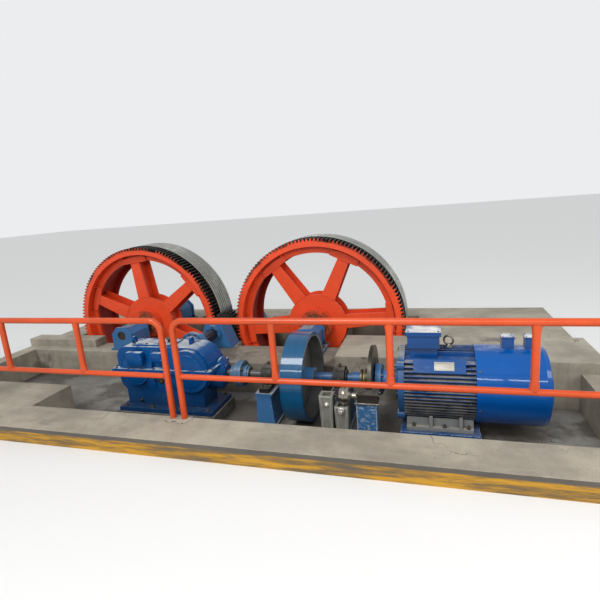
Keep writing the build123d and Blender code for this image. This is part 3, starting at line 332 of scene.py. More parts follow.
def surface_grain():
    place, given, result = effect("surface_grain", {"Scale": 60.0}, "Tone", "Height")
    fine = place.noise(given["Scale"], 6.0, 0.6)
    join(place.noise(2.3, 5.0, 0.6) * 0.7 + fine * 0.3, result["Tone"])
    join(fine, result["Height"])


def axle_distance():
    place, given, result = effect("axle_distance", {"Centre": (0.0, 0.0, 0.0),
                                                    "Across": (1.0, 0.0, 1.0)}, "Radius")
    away = place.vector("SUBTRACT", given["Centre"]).vector("MULTIPLY", given["Across"])
    join(away.vector("LENGTH"), result["Radius"])


# Materials
def blank(name):
    """A bare material, as (material, place, its shader's inputs)."""
    material = bpy.data.materials.get(name) or bpy.data.materials.new(name)
    material.use_nodes = True
    tree = material.node_tree
    tree.nodes.clear()
    shader = tree.nodes.new("ShaderNodeBsdfPrincipled")
    tree.links.new(shader.outputs[0], tree.nodes.new("ShaderNodeOutputMaterial").inputs["Surface"])
    return material, place_of(tree), shader.inputs


def relief(shader, height, strength, depth, normal):
    join(height.make("ShaderNodeBump", {"Height": height, "Strength": strength, "Distance": depth,
                                        "Normal": normal}, "Normal"), shader["Normal"])


def painted(name, colour, chips=0.35, dust=0.0, grime_and_shade=0.5, gloss=0.32, radius=0.004, under=STEEL_DARK,
            fade=0.16, tint=None, shine=0.35, coat=0.0, level=0.8, dusty=DUST, smears=1.0, polish=0.16):
    """Workshop paint: uneven tone, chipped edges, dirt and painted shade in corners, and dust on top."""
    material, place, shader = blank(name)
    grain = place.use(surface_grain, Scale=90.0)
    edge = place.use(edge_wear, Radius=radius, Amount=chips)
    worn = edge["Worn"]
    base = grain["Tone"].between(0.36, 0.66).blend(ink(colour, 1.0 - fade), ink(colour, 1.0 + fade / 2))
    if tint is not None:
        base = tint(place, base)
    # Dirt and painted shade: the corners' occlusion darkens the paint towards a grease colour
    dirt = place.use(corner_dirt_and_shade, Amount=grime_and_shade)["Dirt_and_shade"]
    base = (place.patches(4.5, 0.35, 0.35) * (0.28 * grime_and_shade * smears)).blend(base, (74, 70, 60))
    base = (place.patches(22.0, 0.12, 0.05) * (chips * smears)).blend(base, ink(under, 1.3))
    base = worn.blend(base, ink(under, 1.6))
    base = dirt.blend(base, ink(GREASE, 1.5))
    rough = grain["Tone"] * 0.12 + gloss + dirt * 0.3
    if dust:
        settled = place.use(settled_dust, Amount=dust, Level=level)["Dust"]
        base = settled.blend(base, dusty)
        rough = rough + settled * 0.4
    join(base, shader["Base Color"])
    join((rough + worn * 0.2).clamped(), shader["Roughness"])
    shader["Specular IOR Level"].default_value = shine
    if coat:
        join((1.0 - settled) * coat if dust else coat, shader["Coat Weight"])
        shader["Coat Roughness"].default_value = polish
    relief(shader, grain["Height"] - worn * 0.8, 0.35, 0.0012, edge["Normal"])
    return material


def metal(name, colour, rough=0.35, dirt=0.4, dark=GREASE, bands=None, shine=1.0, radius=0.003, dust=0.0):
    """Bare or oily metal. Bands are the scales of a lengthwise brush mark."""
    material, place, shader = blank(name)
    grain = place.use(surface_grain, Scale=140.0)
    edge = place.use(edge_wear, Radius=radius, Amount=0.8)
    base = grain["Tone"].between(0.35, 0.65).blend(ink(colour, 0.82), ink(colour, 1.12))
    height = grain["Height"]
    if bands is not None:
        brush = place.stretched(bands).noise(1.0, 3.0, 0.7)
        base = brush.between(0.3, 0.75).blend(base, ink(colour, 0.5))
        height = brush * 0.8 + height * 0.3
    # Oily patches, and dirt and painted shade in the occluded corners, darken the metal and dull its sheen
    corner = place.use(corner_dirt_and_shade, Amount=0.9)["Dirt_and_shade"]
    soiled_and_shaded = corner.maths("MAXIMUM", place.patches(9.0, dirt, 0.25) * 0.75, corner)
    base = soiled_and_shaded.blend(base, dark)
    base = (edge["Worn"] * 0.6).blend(base, ink(colour, 1.5))
    roughness = soiled_and_shaded * 0.25 + rough
    if dust:
        settled = place.use(settled_dust, Amount=dust)["Dust"]
        base = settled.blend(base, ink(DUST, 0.8))
        roughness = roughness + settled * 0.4
    join(base, shader["Base Color"])
    join((1.0 - soiled_and_shaded * 0.6) * shine, shader["Metallic"])
    join(roughness.clamped(), shader["Roughness"])
    relief(shader, height, 0.3, 0.0008, edge["Normal"])
    return material


def concrete(name, colour, dirt, stain, streak, finish=None):
    """Cast concrete: broad blotches, sandy speckle, fine cracks, runs on the walls and worn arrises."""
    material, place, shader = blank(name)
    edge = place.use(edge_wear, Radius=0.012, Amount=0.9, Breakup=11.0)
    worn = edge["Worn"]
    broad = place.noise(1.7, 8.0, 0.62)
    sand = place.noise(210.0, 4.0, 0.7)
    floated = place.stretched((3.0, 16.0, 16.0)).noise(1.0, 5.0, 0.6)
    base = broad.between(0.34, 0.66).blend(ink(colour, 0.68), ink(colour, 1.12))
    base = (sand.between(0.5, 0.68) * 0.5).blend(base, (96, 90, 80))
    base = (floated.between(0.45, 0.75) * 0.25).blend(base, ink(colour, 1.25))
    bubbles = place.make("ShaderNodeTexVoronoi", {"Vector": place, "Scale": 46.0}, "Distance")
    hole = bubbles.between(0.16, 0.05)
    base = (hole * 0.5).blend(base, (70, 64, 56))
    drift = place.make("ShaderNodeTexNoise", {"Vector": place, "Scale": 3.0, "Detail": 5.0}, "Color")
    warped = place.vector("ADD", drift.vector("MULTIPLY", (0.5, 0.5, 0.5)))
    cells = place.make("ShaderNodeTexVoronoi", {"Vector": warped, "Scale": 1.1}, "Distance",
                       feature="DISTANCE_TO_EDGE")
    crack = cells.between(0.006, 0.0) * broad.between(0.45, 0.6)
    base = (crack * 0.7).blend(base, (62, 56, 50))
    upright = place.face("Z")
    wall = upright.maths("ABSOLUTE", upright).between(0.6, 0.2)
    runs = place.stretched((9.0, 9.0, 0.8)).noise(1.0, 6.0, 0.65)
    base = (runs.between(0.42, 0.75) * wall * streak).blend(base, (74, 66, 56))
    oil = place.patches(1.9, stain, 0.09)
    base = (oil * 0.68).blend(base, (58, 51, 43))
    # Dirt and painted shade: the concrete darkens where nearby surfaces shut it in, by the dirt amount
    base = place.use(corner_dirt_and_shade, Reach=0.22, Amount=dirt)["Dirt_and_shade"].blend(base, (58, 50, 42))
    base = (worn * 0.55).blend(base, ink(colour, 1.3))
    if finish is not None:
        base = finish(place, base)
    join(base, shader["Base Color"])
    join(0.92 - oil * 0.35, shader["Roughness"])
    height = sand * 0.5 + floated * 0.5 - hole * 0.7 - crack * 1.5 - worn * 1.2
    relief(shader, height, 0.55, 0.003, edge["Normal"])
    return material


def kerb_band(place, base):
    """A dark strip under the kerb's arris and a worn yellow band below it, on the front face."""
    front = place.face("Y").between(-0.5, -0.9)
    lower = (place.part("Z") + place.noise(6.0).span(-0.006, 0.006)).between(1.021, 1.012)
    faded = place.stretched((2.0, 26.0, 26.0)).noise(1.0, 6.0, 0.7)
    left = place.stretched((1.0, 7.0, 7.0)).patches(5.0, 0.93, 0.2) * faded.between(0.26, 0.52)
    base = (front * 0.86).blend(base, (70, 67, 62))
    paint = faded.between(0.38, 0.62).blend((128, 98, 46), paints().band)
    return (front * lower * left).blend(base, paint)


def paint_cad(material, *nodes):
    for node in nodes:
        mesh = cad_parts[node].data
        mesh.materials.clear()
        mesh.materials.append(material)


# Meshes
def standing(at, axis=UP, turn=0.0):
    """A frame with its origin at a point and its Z along an axis."""
    lean = Vector(UP).rotation_difference(Vector(axis)).to_matrix().to_4x4()
    return Matrix.Translation(Vector(at)) @ lean @ Matrix.Rotation(turn, 4, "Z")


def shifted(matrix, x=0.0, y=0.0, z=0.0):
    return matrix @ Matrix.Translation((x, y, z))


def on_shaft(x):
    """A point on the line shaft's axis."""
    return Vector((x, SHAFT.y, SHAFT.z))


def drum(bm, matrix, radius, height, sides=16, top=None):
    bmesh.ops.create_cone(bm, cap_ends=True, segments=sides, radius1=radius,
                          radius2=radius if top is None else top, depth=height,
                          matrix=shifted(matrix, z=height / 2))


def brick(bm, matrix, length, width, height):
    """A block standing on the frame's origin."""
    scale = Matrix.Diagonal((length, width, height, 1.0))
    bmesh.ops.create_cube(bm, size=1.0, matrix=shifted(matrix, z=height / 2) @ scale)


def rod(bm, start, end, radius, sides=10):
    line = Vector(end) - Vector(start)
    drum(bm, standing(start, line.normalized()), radius, line.length, sides)


def bolt(bm, at, axis, across, turn=0.0, stud=0.0):
    """A washer and a chamfered hexagon, with a stud's end above it if asked."""
    seat = shifted(standing(at, axis, turn), z=-BOLT_SINK)
    washer, head, corner = across * 0.12, across * 0.5, across / math.sqrt(3.0)
    drum(bm, seat, across * 0.66, washer + BOLT_SINK, 14)
    nut = shifted(seat, z=washer)
    drum(bm, nut, corner, head, 6)
    crown = shifted(nut, z=head)
    drum(bm, crown, corner * 0.93, across * 0.07, 6, corner * 0.78)
    if stud:
        drum(bm, crown, across * 0.32, stud, 10, across * 0.28)


def bolt_ring(bm, centre, axis, radius, count, across, start=0.0):
    matrix = standing(centre, axis)
    for number in range(count):
        angle = start + 2 * math.pi * number / count
        at = matrix @ Vector((radius * math.cos(angle), radius * math.sin(angle), 0.0))
        bolt(bm, at, axis, across, angle)


def spun(bm, geometry, matrix, steps, angle=2 * math.pi, closed=True):
    """Sweeps points and edges about the frame's Z, and gives the last ones."""
    return bmesh.ops.spin(bm, geom=geometry, cent=matrix.translation, axis=matrix.to_3x3() @ Vector(UP),
                          dvec=(0.0, 0.0, 0.0), angle=angle, steps=steps, use_merge=closed,
                          use_duplicate=False)["geom_last"]


def turned(bm, profile, matrix, steps):
    """A profile of (radius, height) points turned a full circle about the frame's Z."""
    points = [bm.verts.new(matrix @ Vector((radius, 0.0, height))) for radius, height in profile]
    spun(bm, points + [bm.edges.new(pair) for pair in zip(points, points[1:])], matrix, steps)


def knob(bm, matrix, steps, *points):
    """A solid turned from (radius, height) points, closed to the axis at its foot and its top."""
    ends = [(0.0, points[-1][1])] if points[-1][0] else []
    turned(bm, [(0.0, points[0][1]), *points, *ends], matrix, steps)


def ring_plate(bm, matrix, inner, outer, height, steps=40):
    turned(bm, [(inner, 0.0), (outer, 0.0), (outer, height * 0.8), (outer - height * 0.2, height),
                (inner, height), (inner, 0.0)], matrix, steps)


def collar(bm, x, way, bore, outer, height, steps=40):
    """A ring plate round the line shaft, facing the motor, or the gearbox where way is -1."""
    ring_plate(bm, standing(on_shaft(x), (way, 0, 0)), bore, outer, height, steps)


def hoop(bm, matrix, radius, thickness, steps, sides, angle=2 * math.pi, start=0.0):
    """A round bar bent about the frame's Z: a full ring, or an arc with closed ends."""
    lie = shifted(matrix @ Matrix.Rotation(start, 4, "Z"), radius) @ Matrix.Rotation(math.pi / 2, 4, "X")
    section = bmesh.ops.create_circle(bm, cap_ends=False, segments=sides, radius=thickness,
                                      matrix=lie)["verts"]
    rim = list({edge for vert in section for edge in vert.link_edges})
    whole = angle >= 2 * math.pi - 1e-6
    last = spun(bm, section + rim, matrix, steps, angle, whole)
    if not whole:
        for loop in (rim, [item for item in last if isinstance(item, bmesh.types.BMEdge)]):
            bmesh.ops.edgeloop_fill(bm, edges=loop)


def ease(bm, offset, segments):
    """Takes the sharpness off every edge."""
    bmesh.ops.bevel(bm, geom=list(bm.edges), offset=offset, affect="EDGES", segments=segments,
                    profile=0.5, material=-1)


def piece(name, bm, material, body="foundation", crease=32.0):
    """Closes a mesh, shades it, and rides it on its body."""
    bmesh.ops.remove_doubles(bm, verts=bm.verts, dist=1e-6)
    bmesh.ops.recalc_face_normals(bm, faces=bm.faces)
    for face in bm.faces:
        face.smooth = True
    for edge in bm.edges:
        edge.smooth = edge.calc_face_angle(math.pi) < math.radians(crease)
    mesh = bpy.data.meshes.new(name)
    bm.to_mesh(mesh)
    bm.free()
    mesh.materials.append(material)
    made = bpy.data.objects.new(name, mesh)
    bpy.context.scene.collection.objects.link(made)
    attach(made, body)


def bolt_steel():
    return bpy.data.materials.get("bolt_steel") or metal("bolt_steel", (112, 106, 96), 0.42, 0.35)


# Stage
class CAPSTAN_OT_stage(Operator):
    """Floor with the foundation let into it, soft light and the camera"""
    bl_idname = "capstan.stage"
    bl_label = "Floor, light and camera"

    def execute(self, context):
        scene = bpy.context.scene
        light = scene.capstan_stage
        self.floor(scene, light.floor_level)
        self.world(scene, light.sky)
        self.lamp(scene, "soft_sun", (0.0, 0.0, 8.0), (0.35, 0.75, -1.15), light.key)
        self.lamp(scene, "front_panel", (0.4, -6.5, 5.2), (-0.05, 1.0, -0.62), 118.0, 5.0, mirrored=False)
        self.lamp(scene, "right_panel", (6.0, -3.0, 4.2), (-1.0, 0.35, -0.5), 90.0, 3.0)
        self.lamp(scene, "strip", (1.5, -6.1, 4.6), (0.0, 0.82, -0.54), 84.0, 6.0, 0.045)

        camera = bpy.data.cameras.new("photo_camera")
        camera.lens, camera.sensor_width = CAMERA_LENS, SENSOR_WIDTH
        camera.clip_start, camera.clip_end = 0.1, 300.0
        holder = bpy.data.objects.new("photo_camera", camera)
        turn = Matrix((CAMERA_RIGHT, CAMERA_UP, CAMERA_BACK)).transposed().to_4x4()
        holder.matrix_world = Matrix.Translation(CAMERA_AT) @ turn
        scene.collection.objects.link(holder)
        scene.camera = holder
        scene.view_settings.view_transform = "Standard"
        return {"FINISHED"}

    @staticmethod
    def floor(scene, level):
        """A wide plain floor, open round the foundation."""
        low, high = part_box("foundation_slab")
        hole = [(low.x, low.y), (high.x, low.y), (high.x, high.y), (low.x, high.y)]
        edge = [(math.copysign(FLOOR_REACH, x), math.copysign(FLOOR_REACH, y)) for x, y in hole]
        bm = bmesh.new()
        for loop in (hole, edge):
            points = [bm.verts.new((x, y, level)) for x, y in loop]
            for pair in zip(points, points[1:] + points[:1]):
                bm.edges.new(pair)
        bmesh.ops.bridge_loops(bm, edges=bm.edges)
        bmesh.ops.recalc_face_normals(bm, faces=bm.faces)
        mesh = bpy.data.meshes.new("aisle_floor")
        bm.to_mesh(mesh)
        bm.free()
        if mesh.polygons[0].normal.z < 0:
            mesh.flip_normals()
        floor = bpy.data.objects.new("aisle_floor", mesh)
        scene.collection.objects.link(floor)
        material, _, shader = blank("plain_floor")
        shader["Base Color"].default_value = ink((216, 216, 214))
        shader["Roughness"].default_value = 0.9
        mesh.materials.append(material)

    @staticmethod
    def world(scene, strength):
        """Soft light from all round, and a pale ground behind the part."""
        world = bpy.data.worlds.new("pale_hall")
        scene.world = world
        world.use_nodes = True
        tree = world.node_tree
        tree.nodes.clear()
        path = add(tree, "ShaderNodeLightPath").outputs
        seen = (Wire(path["Is Camera Ray"]) + Wire(path["Is Transmission Ray"])).clamped()
        sky = seen.make("ShaderNodeBackground", {"Color": ink((246, 248, 252)), "Strength": strength})
        shown = seen.make("ShaderNodeBackground", {"Color": ink((236, 237, 238)), "Strength": 1.0})
        mixed = seen.make("ShaderNodeMixShader", {0: seen, 1: sky, 2: shown})
        join(mixed, tree.nodes.new("ShaderNodeOutputWorld").inputs["Surface"])

    @staticmethod
    def lamp(scene, name, at, towards, power, length=None, share=0.6, mirrored=True):
        """A panel of a length, or a soft sun. One that isn't mirrored leaves no sheen on the paint."""
        light = bpy.data.lights.new(name, "AREA" if length else "SUN")
        light.energy = power
        if length:
            light.shape, light.size, light.size_y = "RECTANGLE", length, length * share
        else:
            light.angle = SUN_SPREAD
        holder = bpy.data.objects.new(name, light)
        holder.visible_glossy = mirrored
        holder.rotation_mode = "QUATERNION"
        holder.rotation_quaternion = Vector(towards).to_track_quat("-Z", "Y")
        holder.location = at
        scene.collection.objects.link(holder)


# Concrete
class CAPSTAN_OT_concrete(Operator):
    """Finishes of the kerb, the pits, the plinths and the walls"""
    bl_idname = "capstan.concrete"
    bl_label = "Concrete"

    def execute(self, context):
        plain = concrete("plinth_concrete", paints().concrete, 0.55, 0.16, 0.35)
        pit = concrete("pit_concrete", (132, 130, 124), 0.95, 0.62, 0.7)
        worked = concrete("middle_plinth_concrete", (136, 129, 116), 0.85, 0.42, 0.5)
        kerb = concrete("kerb_concrete", paints().kerb, 0.35, 0.08, 0.25, kerb_band)
        paint_cad(plain, "plinth_left", "plinth_right", "wheel_pit_ends", "bearing_piers", "rear_wall",
                  "foundation_slab")
        paint_cad(worked, "plinth_middle")
        paint_cad(pit, "drive_pit_bed")
        paint_cad(kerb, "front_kerb", "drive_pit_ends")
        self.rubble(pit)
        self.mortar(kerb)
        return {"FINISHED"}

    @staticmethod
    def rubble(material):
        """Grit and broken concrete that has gathered on the drive pit's floor."""
        random.seed(7)
        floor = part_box("gearbox_bed")[0].z
        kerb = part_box("front_kerb")[1].y
        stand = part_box("caliper_stand")
        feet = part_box("motor_bed_plate")
        bm = bmesh.new()
        for number in range(150):
            if number % 3:
                x = random.uniform(stand[1].x + 0.02, feet[0].x + 0.02)
                y = random.uniform(kerb + 0.02, -0.98)
            else:
                x = random.uniform(-0.9, 2.6)
                y = random.uniform(kerb + 0.01, kerb + 0.16)
            size = random.uniform(0.004, 0.017) * (1.4 if number % 17 == 0 else 1.0)
            lump = bmesh.ops.create_icosphere(bm, subdivisions=1, radius=size,
                                              matrix=Matrix.Translation((x, y, floor + size * 0.35)))
            for vert in lump["verts"]:
                jolt = field.noise(vert.co * 90.0) * size * 0.9
                vert.co += Vector((jolt, -jolt * 0.6, jolt * 0.4))
                vert.co.z = max(floor - 0.001, vert.co.z)
        piece("pit_rubble", bm, material, crease=20.0)

    @staticmethod
    def mortar(material):
        """Rough mortar round the feet of the guard rail's legs."""
        kerb_low, kerb_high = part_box("front_kerb")
        bm = bmesh.new()
        for side in SIDES:
            low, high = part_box(f"guard_frame_{side}")
            radius, y = (high.y - low.y) / 2, (low.y + high.y) / 2
            for x in (low.x + radius, high.x - radius):
                if abs(x) > kerb_high.x - 0.03:
                    continue
                first = len(bm.verts)
                knob(bm, standing((x, y, kerb_high.z)), 24, (0.056, -0.001), (0.052, 0.006), (0.036, 0.012),
                     (radius + 0.001, 0.014))
                for vert in list(bm.verts)[first:]:
                    push = field.noise(vert.co * 38.0)
                    away = Vector((vert.co.x - x, vert.co.y - y, 0.0))
                    if away.length > 0.03:
                        vert.co += away * push * 0.5
                        vert.co.z += max(0.0, field.noise(vert.co * 70.0)) * 0.006
                        vert.co.x = min(max(vert.co.x, kerb_low.x), kerb_high.x)
        piece("leg_mortar", bm, material)


# Wheels
class CAPSTAN_OT_wheels(Operator):
    """Paint of the wheels, grease on the teeth, bare rope grooves, welds and bolts"""
    bl_idname = "capstan.wheels"
    bl_label = "Wheels"

    def execute(self, context):
        orange = painted("wheel_orange_paint", paints().wheel, **WHEEL_FINISH)
        axle = metal("axle_steel", (116, 104, 90), 0.38, 0.45)
        rust = metal("boss_steel", (150, 84, 54), 0.5, 0.4, (74, 40, 26), shine=0.5)
        for side in SIDES:
            centre = middle(f"rope_ring_{side}")
            paint_cad(orange, f"spokes_{side}", f"rim_front_ring_{side}", f"rim_pads_{side}")
            paint_cad(self.hub_paint(side, centre), f"hub_{side}")
            paint_cad(self.rim_paint(side), f"rim_{side}", f"rim_rear_ring_{side}")
            paint_cad(self.gear_paint(side, centre), f"ring_gear_{side}")
            paint_cad(self.rope_steel(side, centre), f"rope_ring_{side}")
            paint_cad(axle, f"axle_{side}")
            self.welds(side, centre, orange)
            self.cleats(side, centre, orange)
            self.boss_cover(side, centre, rust)
        return {"FINISHED"}

    def hub_paint(self, side, centre):
        """The wheel's paint, rubbed off the front of the boss."""
        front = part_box(f"hub_{side}")[0].y

        def bare_boss(place, base):
            ring = place.radius(centre).between(0.196, 0.186)
            ring = ring * place.part("Y").between(front + 0.03, front + 0.01)
            return (ring * place.patches(16.0, 0.6, 0.2)).blend(base, (132, 58, 34))
        return painted(f"hub_paint_{side}", paints().wheel, tint=bare_boss, **WHEEL_FINISH)

    def rim_paint(self, side):
        """Bright on the front lip, and darker red inside the drum: a painted shade."""
        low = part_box(f"rim_front_ring_{side}")[0].y

        def darker_inside(place, base):
            # Painted shade: deeper inside the drum the orange turns to the darker drum red
            return place.part("Y").between(low + 0.045, low + 0.16).blend(base, paints().drum)
        return painted(f"rim_paint_{side}", paints().wheel, chips=0.3, grime_and_shade=0.8, gloss=0.4,
                       radius=0.005, tint=darker_inside)

    def gear_paint(self, side, centre):
        """Orange web, and black grease over the teeth and a little way below their roots."""
        material, place, shader = blank(f"ring_gear_paint_{side}")
        colour = paints().wheel
        grain = place.use(surface_grain, Scale=80.0)
        edge = place.use(edge_wear, Radius=0.003, Amount=0.7)
        radius = place.radius(centre)
        ragged = radius + place.noise(26.0, 4.0, 0.7).span(-0.012, 0.012)
        teeth = ragged.between(GEAR_ROOT - 0.012, GEAR_ROOT - 0.002)
        splash = place.patches(30.0, 0.2, 0.1) * radius.between(GEAR_ROOT - 0.05, GEAR_ROOT)
        kept = place.face("Y").between(-0.6, -0.9) * place.patches(3.2, 0.62, 0.2)
        greasy = teeth.maths("MAXIMUM", teeth, splash) * (1.0 - kept)
        paint = grain["Tone"].between(0.36, 0.66).blend(ink(colour, 0.86), ink(colour, 1.06))
        steel = place.noise(55.0, 3.0, 0.6).between(0.5, 0.75).blend((20, 18, 16), (74, 68, 60))
        steel = edge["Worn"].blend(steel, (150, 142, 128))
        join(greasy.blend(paint, steel), shader["Base Color"])
        join(greasy * 0.75, shader["Metallic"])
        join(grain["Height"] * 0.12 + 0.34, shader["Roughness"])
        relief(shader, grain["Height"] * greasy.span(0.3, 1.2), 0.5, 0.002, edge["Normal"])
        return material

    @staticmethod
    def rope_steel(side, centre):
        """Steel that the rope keeps bright on the lands, near black down in the grooves, and red-brown
        inside.
        """
        material, place, shader = blank(f"rope_ring_steel_{side}")
        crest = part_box(f"rope_ring_{side}")[1].z - centre.z
        grain = place.use(surface_grain, Scale=120.0)
        edge = place.use(edge_wear, Radius=0.003, Amount=0.8)
        radius = place.radius(centre)
        band = place.stretched((0.6, 260.0, 0.6)).noise(1.0, 4.0, 0.75)
        stain = place.patches(5.0, 0.3, 0.3)
        land = radius.between(crest - 0.0028, crest - 0.0004)
        inside = radius.between(crest - 0.03, crest - 0.04)
        steel = band.between(0.3, 0.72).blend((124, 122, 112), (204, 203, 194))
        base = (stain * 0.45).blend(land.blend((14, 14, 12), steel), (82, 76, 66))
        join(inside.blend(base, (110, 42, 26)), shader["Base Color"])
        join((land - inside).clamped() * 0.88, shader["Metallic"])
        join((band * 0.5 + stain * 0.4).span(0.24, 0.6), shader["Roughness"])
        relief(shader, band + grain["Height"] * 0.4, 0.35, 0.001, edge["Normal"])
        return material

    @staticmethod
    def wheel_frame(centre, depth, angle=0.0):
        """Z along the axle away from the viewer's side, X along a spoke."""
        lie = Matrix.Translation((centre.x, depth, centre.z)) @ Matrix.Rotation(math.pi / 2, 4, "X")
        return lie @ Matrix.Rotation(angle, 4, "Z")

    def welds(self, side, centre, material):
        """Beads where the spokes meet the hub and the rim's pads, front and back."""
        bm = bmesh.new()
        bead = sizes().bead
        low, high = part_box(f"spokes_{side}")
        hub_low, hub_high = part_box(f"hub_{side}")
        hub = (hub_high.x - hub_low.x) / 2
        at_hub = hub, math.asin(SPOKE_HALF_AT_HUB / hub)
        at_pad = PAD_RADIUS, math.asin(SPOKE_HALF_AT_PAD / PAD_RADIUS)
        pad = math.asin(PAD_HALF / PAD_OUTER)
        back = low.y + SPOKE_PLATE
        for number in range(SPOKES):
            spoke = math.radians(SPOKE_ANGLES[side] + 360 / SPOKES * number)
            for depth, (radius, half) in ((low.y, at_hub), (low.y, at_pad), (high.y, at_hub)):
                hoop(bm, self.wheel_frame(centre, depth), radius, bead, 10, 6, 2 * half, spoke - half)
            hoop(bm, self.wheel_frame(centre, back), PAD_OUTER + bead * 0.4, bead, 22, 6, 2 * pad,
                 spoke - pad)
            turn = self.wheel_frame(centre, back, spoke)
            for end in (-PAD_HALF, PAD_HALF):
                rod(bm, turn @ Vector((PAD_RADIUS + 0.027, end, 0.0)),
                    turn @ Vector((PAD_OUTER - 0.018, end, 0.0)), bead, 6)
        piece(f"spoke_welds_{side}", bm, material, f"wheel_{side}", 60.0)

    def cleats(self, side, centre, material):
        """Small gussets between the pads' ends and the ring gear."""
        bm = bmesh.new()
        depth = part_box(f"spokes_{side}")[0].y + SPOKE_PLATE + 0.001
        for number in range(SPOKES):
            for end in (-CLEAT_ANGLE, CLEAT_ANGLE):
                angle = math.radians(SPOKE_ANGLES[side] + 360 / SPOKES * number + end)
                seat = shifted(self.wheel_frame(centre, depth, angle), PAD_OUTER + 0.0115)
                brick(bm, seat, 0.024, 0.010, 0.060)
        ease(bm, 0.0012, 1)
        piece(f"rim_cleats_{side}", bm, material, f"wheel_{side}")

    def boss_cover(self, side, centre, material):
        """A ring cover let into the boss, held by bolts."""
        bm = bmesh.new()
        seat = self.wheel_frame(centre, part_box(f"hub_{side}")[0].y + 0.014)
        ring_plate(bm, seat, 0.0765, 0.130, 0.010, 48)
        bolt_ring(bm, seat @ Vector((0.0, 0.0, 0.010)), TO_FRONT, 0.104, 8, sizes().cover, 0.3)
        piece(f"boss_cover_{side}", bm, material, f"wheel_{side}")


# Wheel and pinion bearings
class CAPSTAN_OT_bearings(Operator):
    """Blue bearing blocks with their anchor bolts, grease nipples and shaft ends"""
    bl_idname = "capstan.bearings"
    bl_label = "Wheel and pinion bearings"

    def execute(self, context):
        blue = painted("bearing_blue", paints().pedestal, chips=0.5, dust=0.7, grime_and_shade=1.0, gloss=0.4,
                       level=0.86, dusty=(150, 140, 126))
        coupling = painted("pinion_coupling_blue", paints().pedestal, chips=0.5, dust=0.6, grime_and_shade=0.9,
                           gloss=0.34, radius=0.003, under=CHIP_GREY)
        bare = metal("pinion_shaft_steel", (82, 94, 108), 0.3, 0.5, bands=(60.0, 1.0, 60.0))
        paint_cad(blue, "wheel_bearings_left", "wheel_bearings_right", "pinion_bearings")
        paint_cad(metal("pinion_steel", (84, 78, 70), 0.34, 0.6), "pinion_gear")
        paint_cad(bare, "pinion_shaft")
        paint_cad(coupling, "pinion_coupling")
        self.coupling_bolts()
        bm = bmesh.new()
        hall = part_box("front_kerb")[1].z
        for side in SIDES:
            low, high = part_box(f"wheel_bearings_{side}")
            x, half = (low.x + high.x) / 2, (high.x - low.x) / 2
            for start in (low.y, high.y - WHEEL_BLOCK):
                for share in (0.14, 0.5, 0.86):
                    for way in (-1, 1):
                        at = (x + way * (half - 0.024), start + share * WHEEL_BLOCK, hall + 0.025)
                        bolt(bm, at, UP, sizes().anchor * 0.8, share, 0.02)
                knob(bm, standing((x, start + WHEEL_BLOCK / 2, high.z)), 12, (0.011, -0.002),
                     (0.011, 0.010), (0.006, 0.014), (0.006, 0.022), (0.008, 0.026), (0.004, 0.033))
        low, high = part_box("pinion_bearings")
        x, z = (low.x + high.x) / 2, middle("pinion_gear").z
        for front in (low.y, high.y - PINION_BLOCK):
            bolt_ring(bm, (x, front, z), TO_FRONT, 0.079, 6, sizes().cover * 0.8, 0.5)
            knob(bm, standing((x, front + 0.14, high.z)), 12, (0.012, -0.002), (0.012, 0.012),
                 (0.006, 0.018))
        piece("bearing_bolts", bm, bolt_steel())
        return {"FINISHED"}

    @staticmethod
    def coupling_bolts():
        """Flange bolts, joint ring and end covers of the coupling on the pinion's shaft."""
        low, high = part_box("pinion_coupling")
        x, z = (low.x + high.x) / 2, (low.z + high.z) / 2
        mid, reach = (low.y + high.y) / 2, (high.x - low.x) / 2
        bm = bmesh.new()
        drum(bm, standing((x, mid - 0.0015, z), TO_REAR), reach + 0.0015, 0.003, 48)
        for way in (-1, 1):
            axis = (0, way, 0)
            bolt_ring(bm, (x, mid + way * 0.024, z), axis, reach - 0.016, 12, sizes().cover, 0.2)
            bolt_ring(bm, (x, mid + way * 0.099, z), axis, 0.105, 8, sizes().screw, 0.1)
            ring_plate(bm, standing((x, mid + way * 0.120, z), axis), 0.0605, 0.080, 0.006)
        piece("pinion_coupling_bolts", bm, bolt_steel(), "pinion")


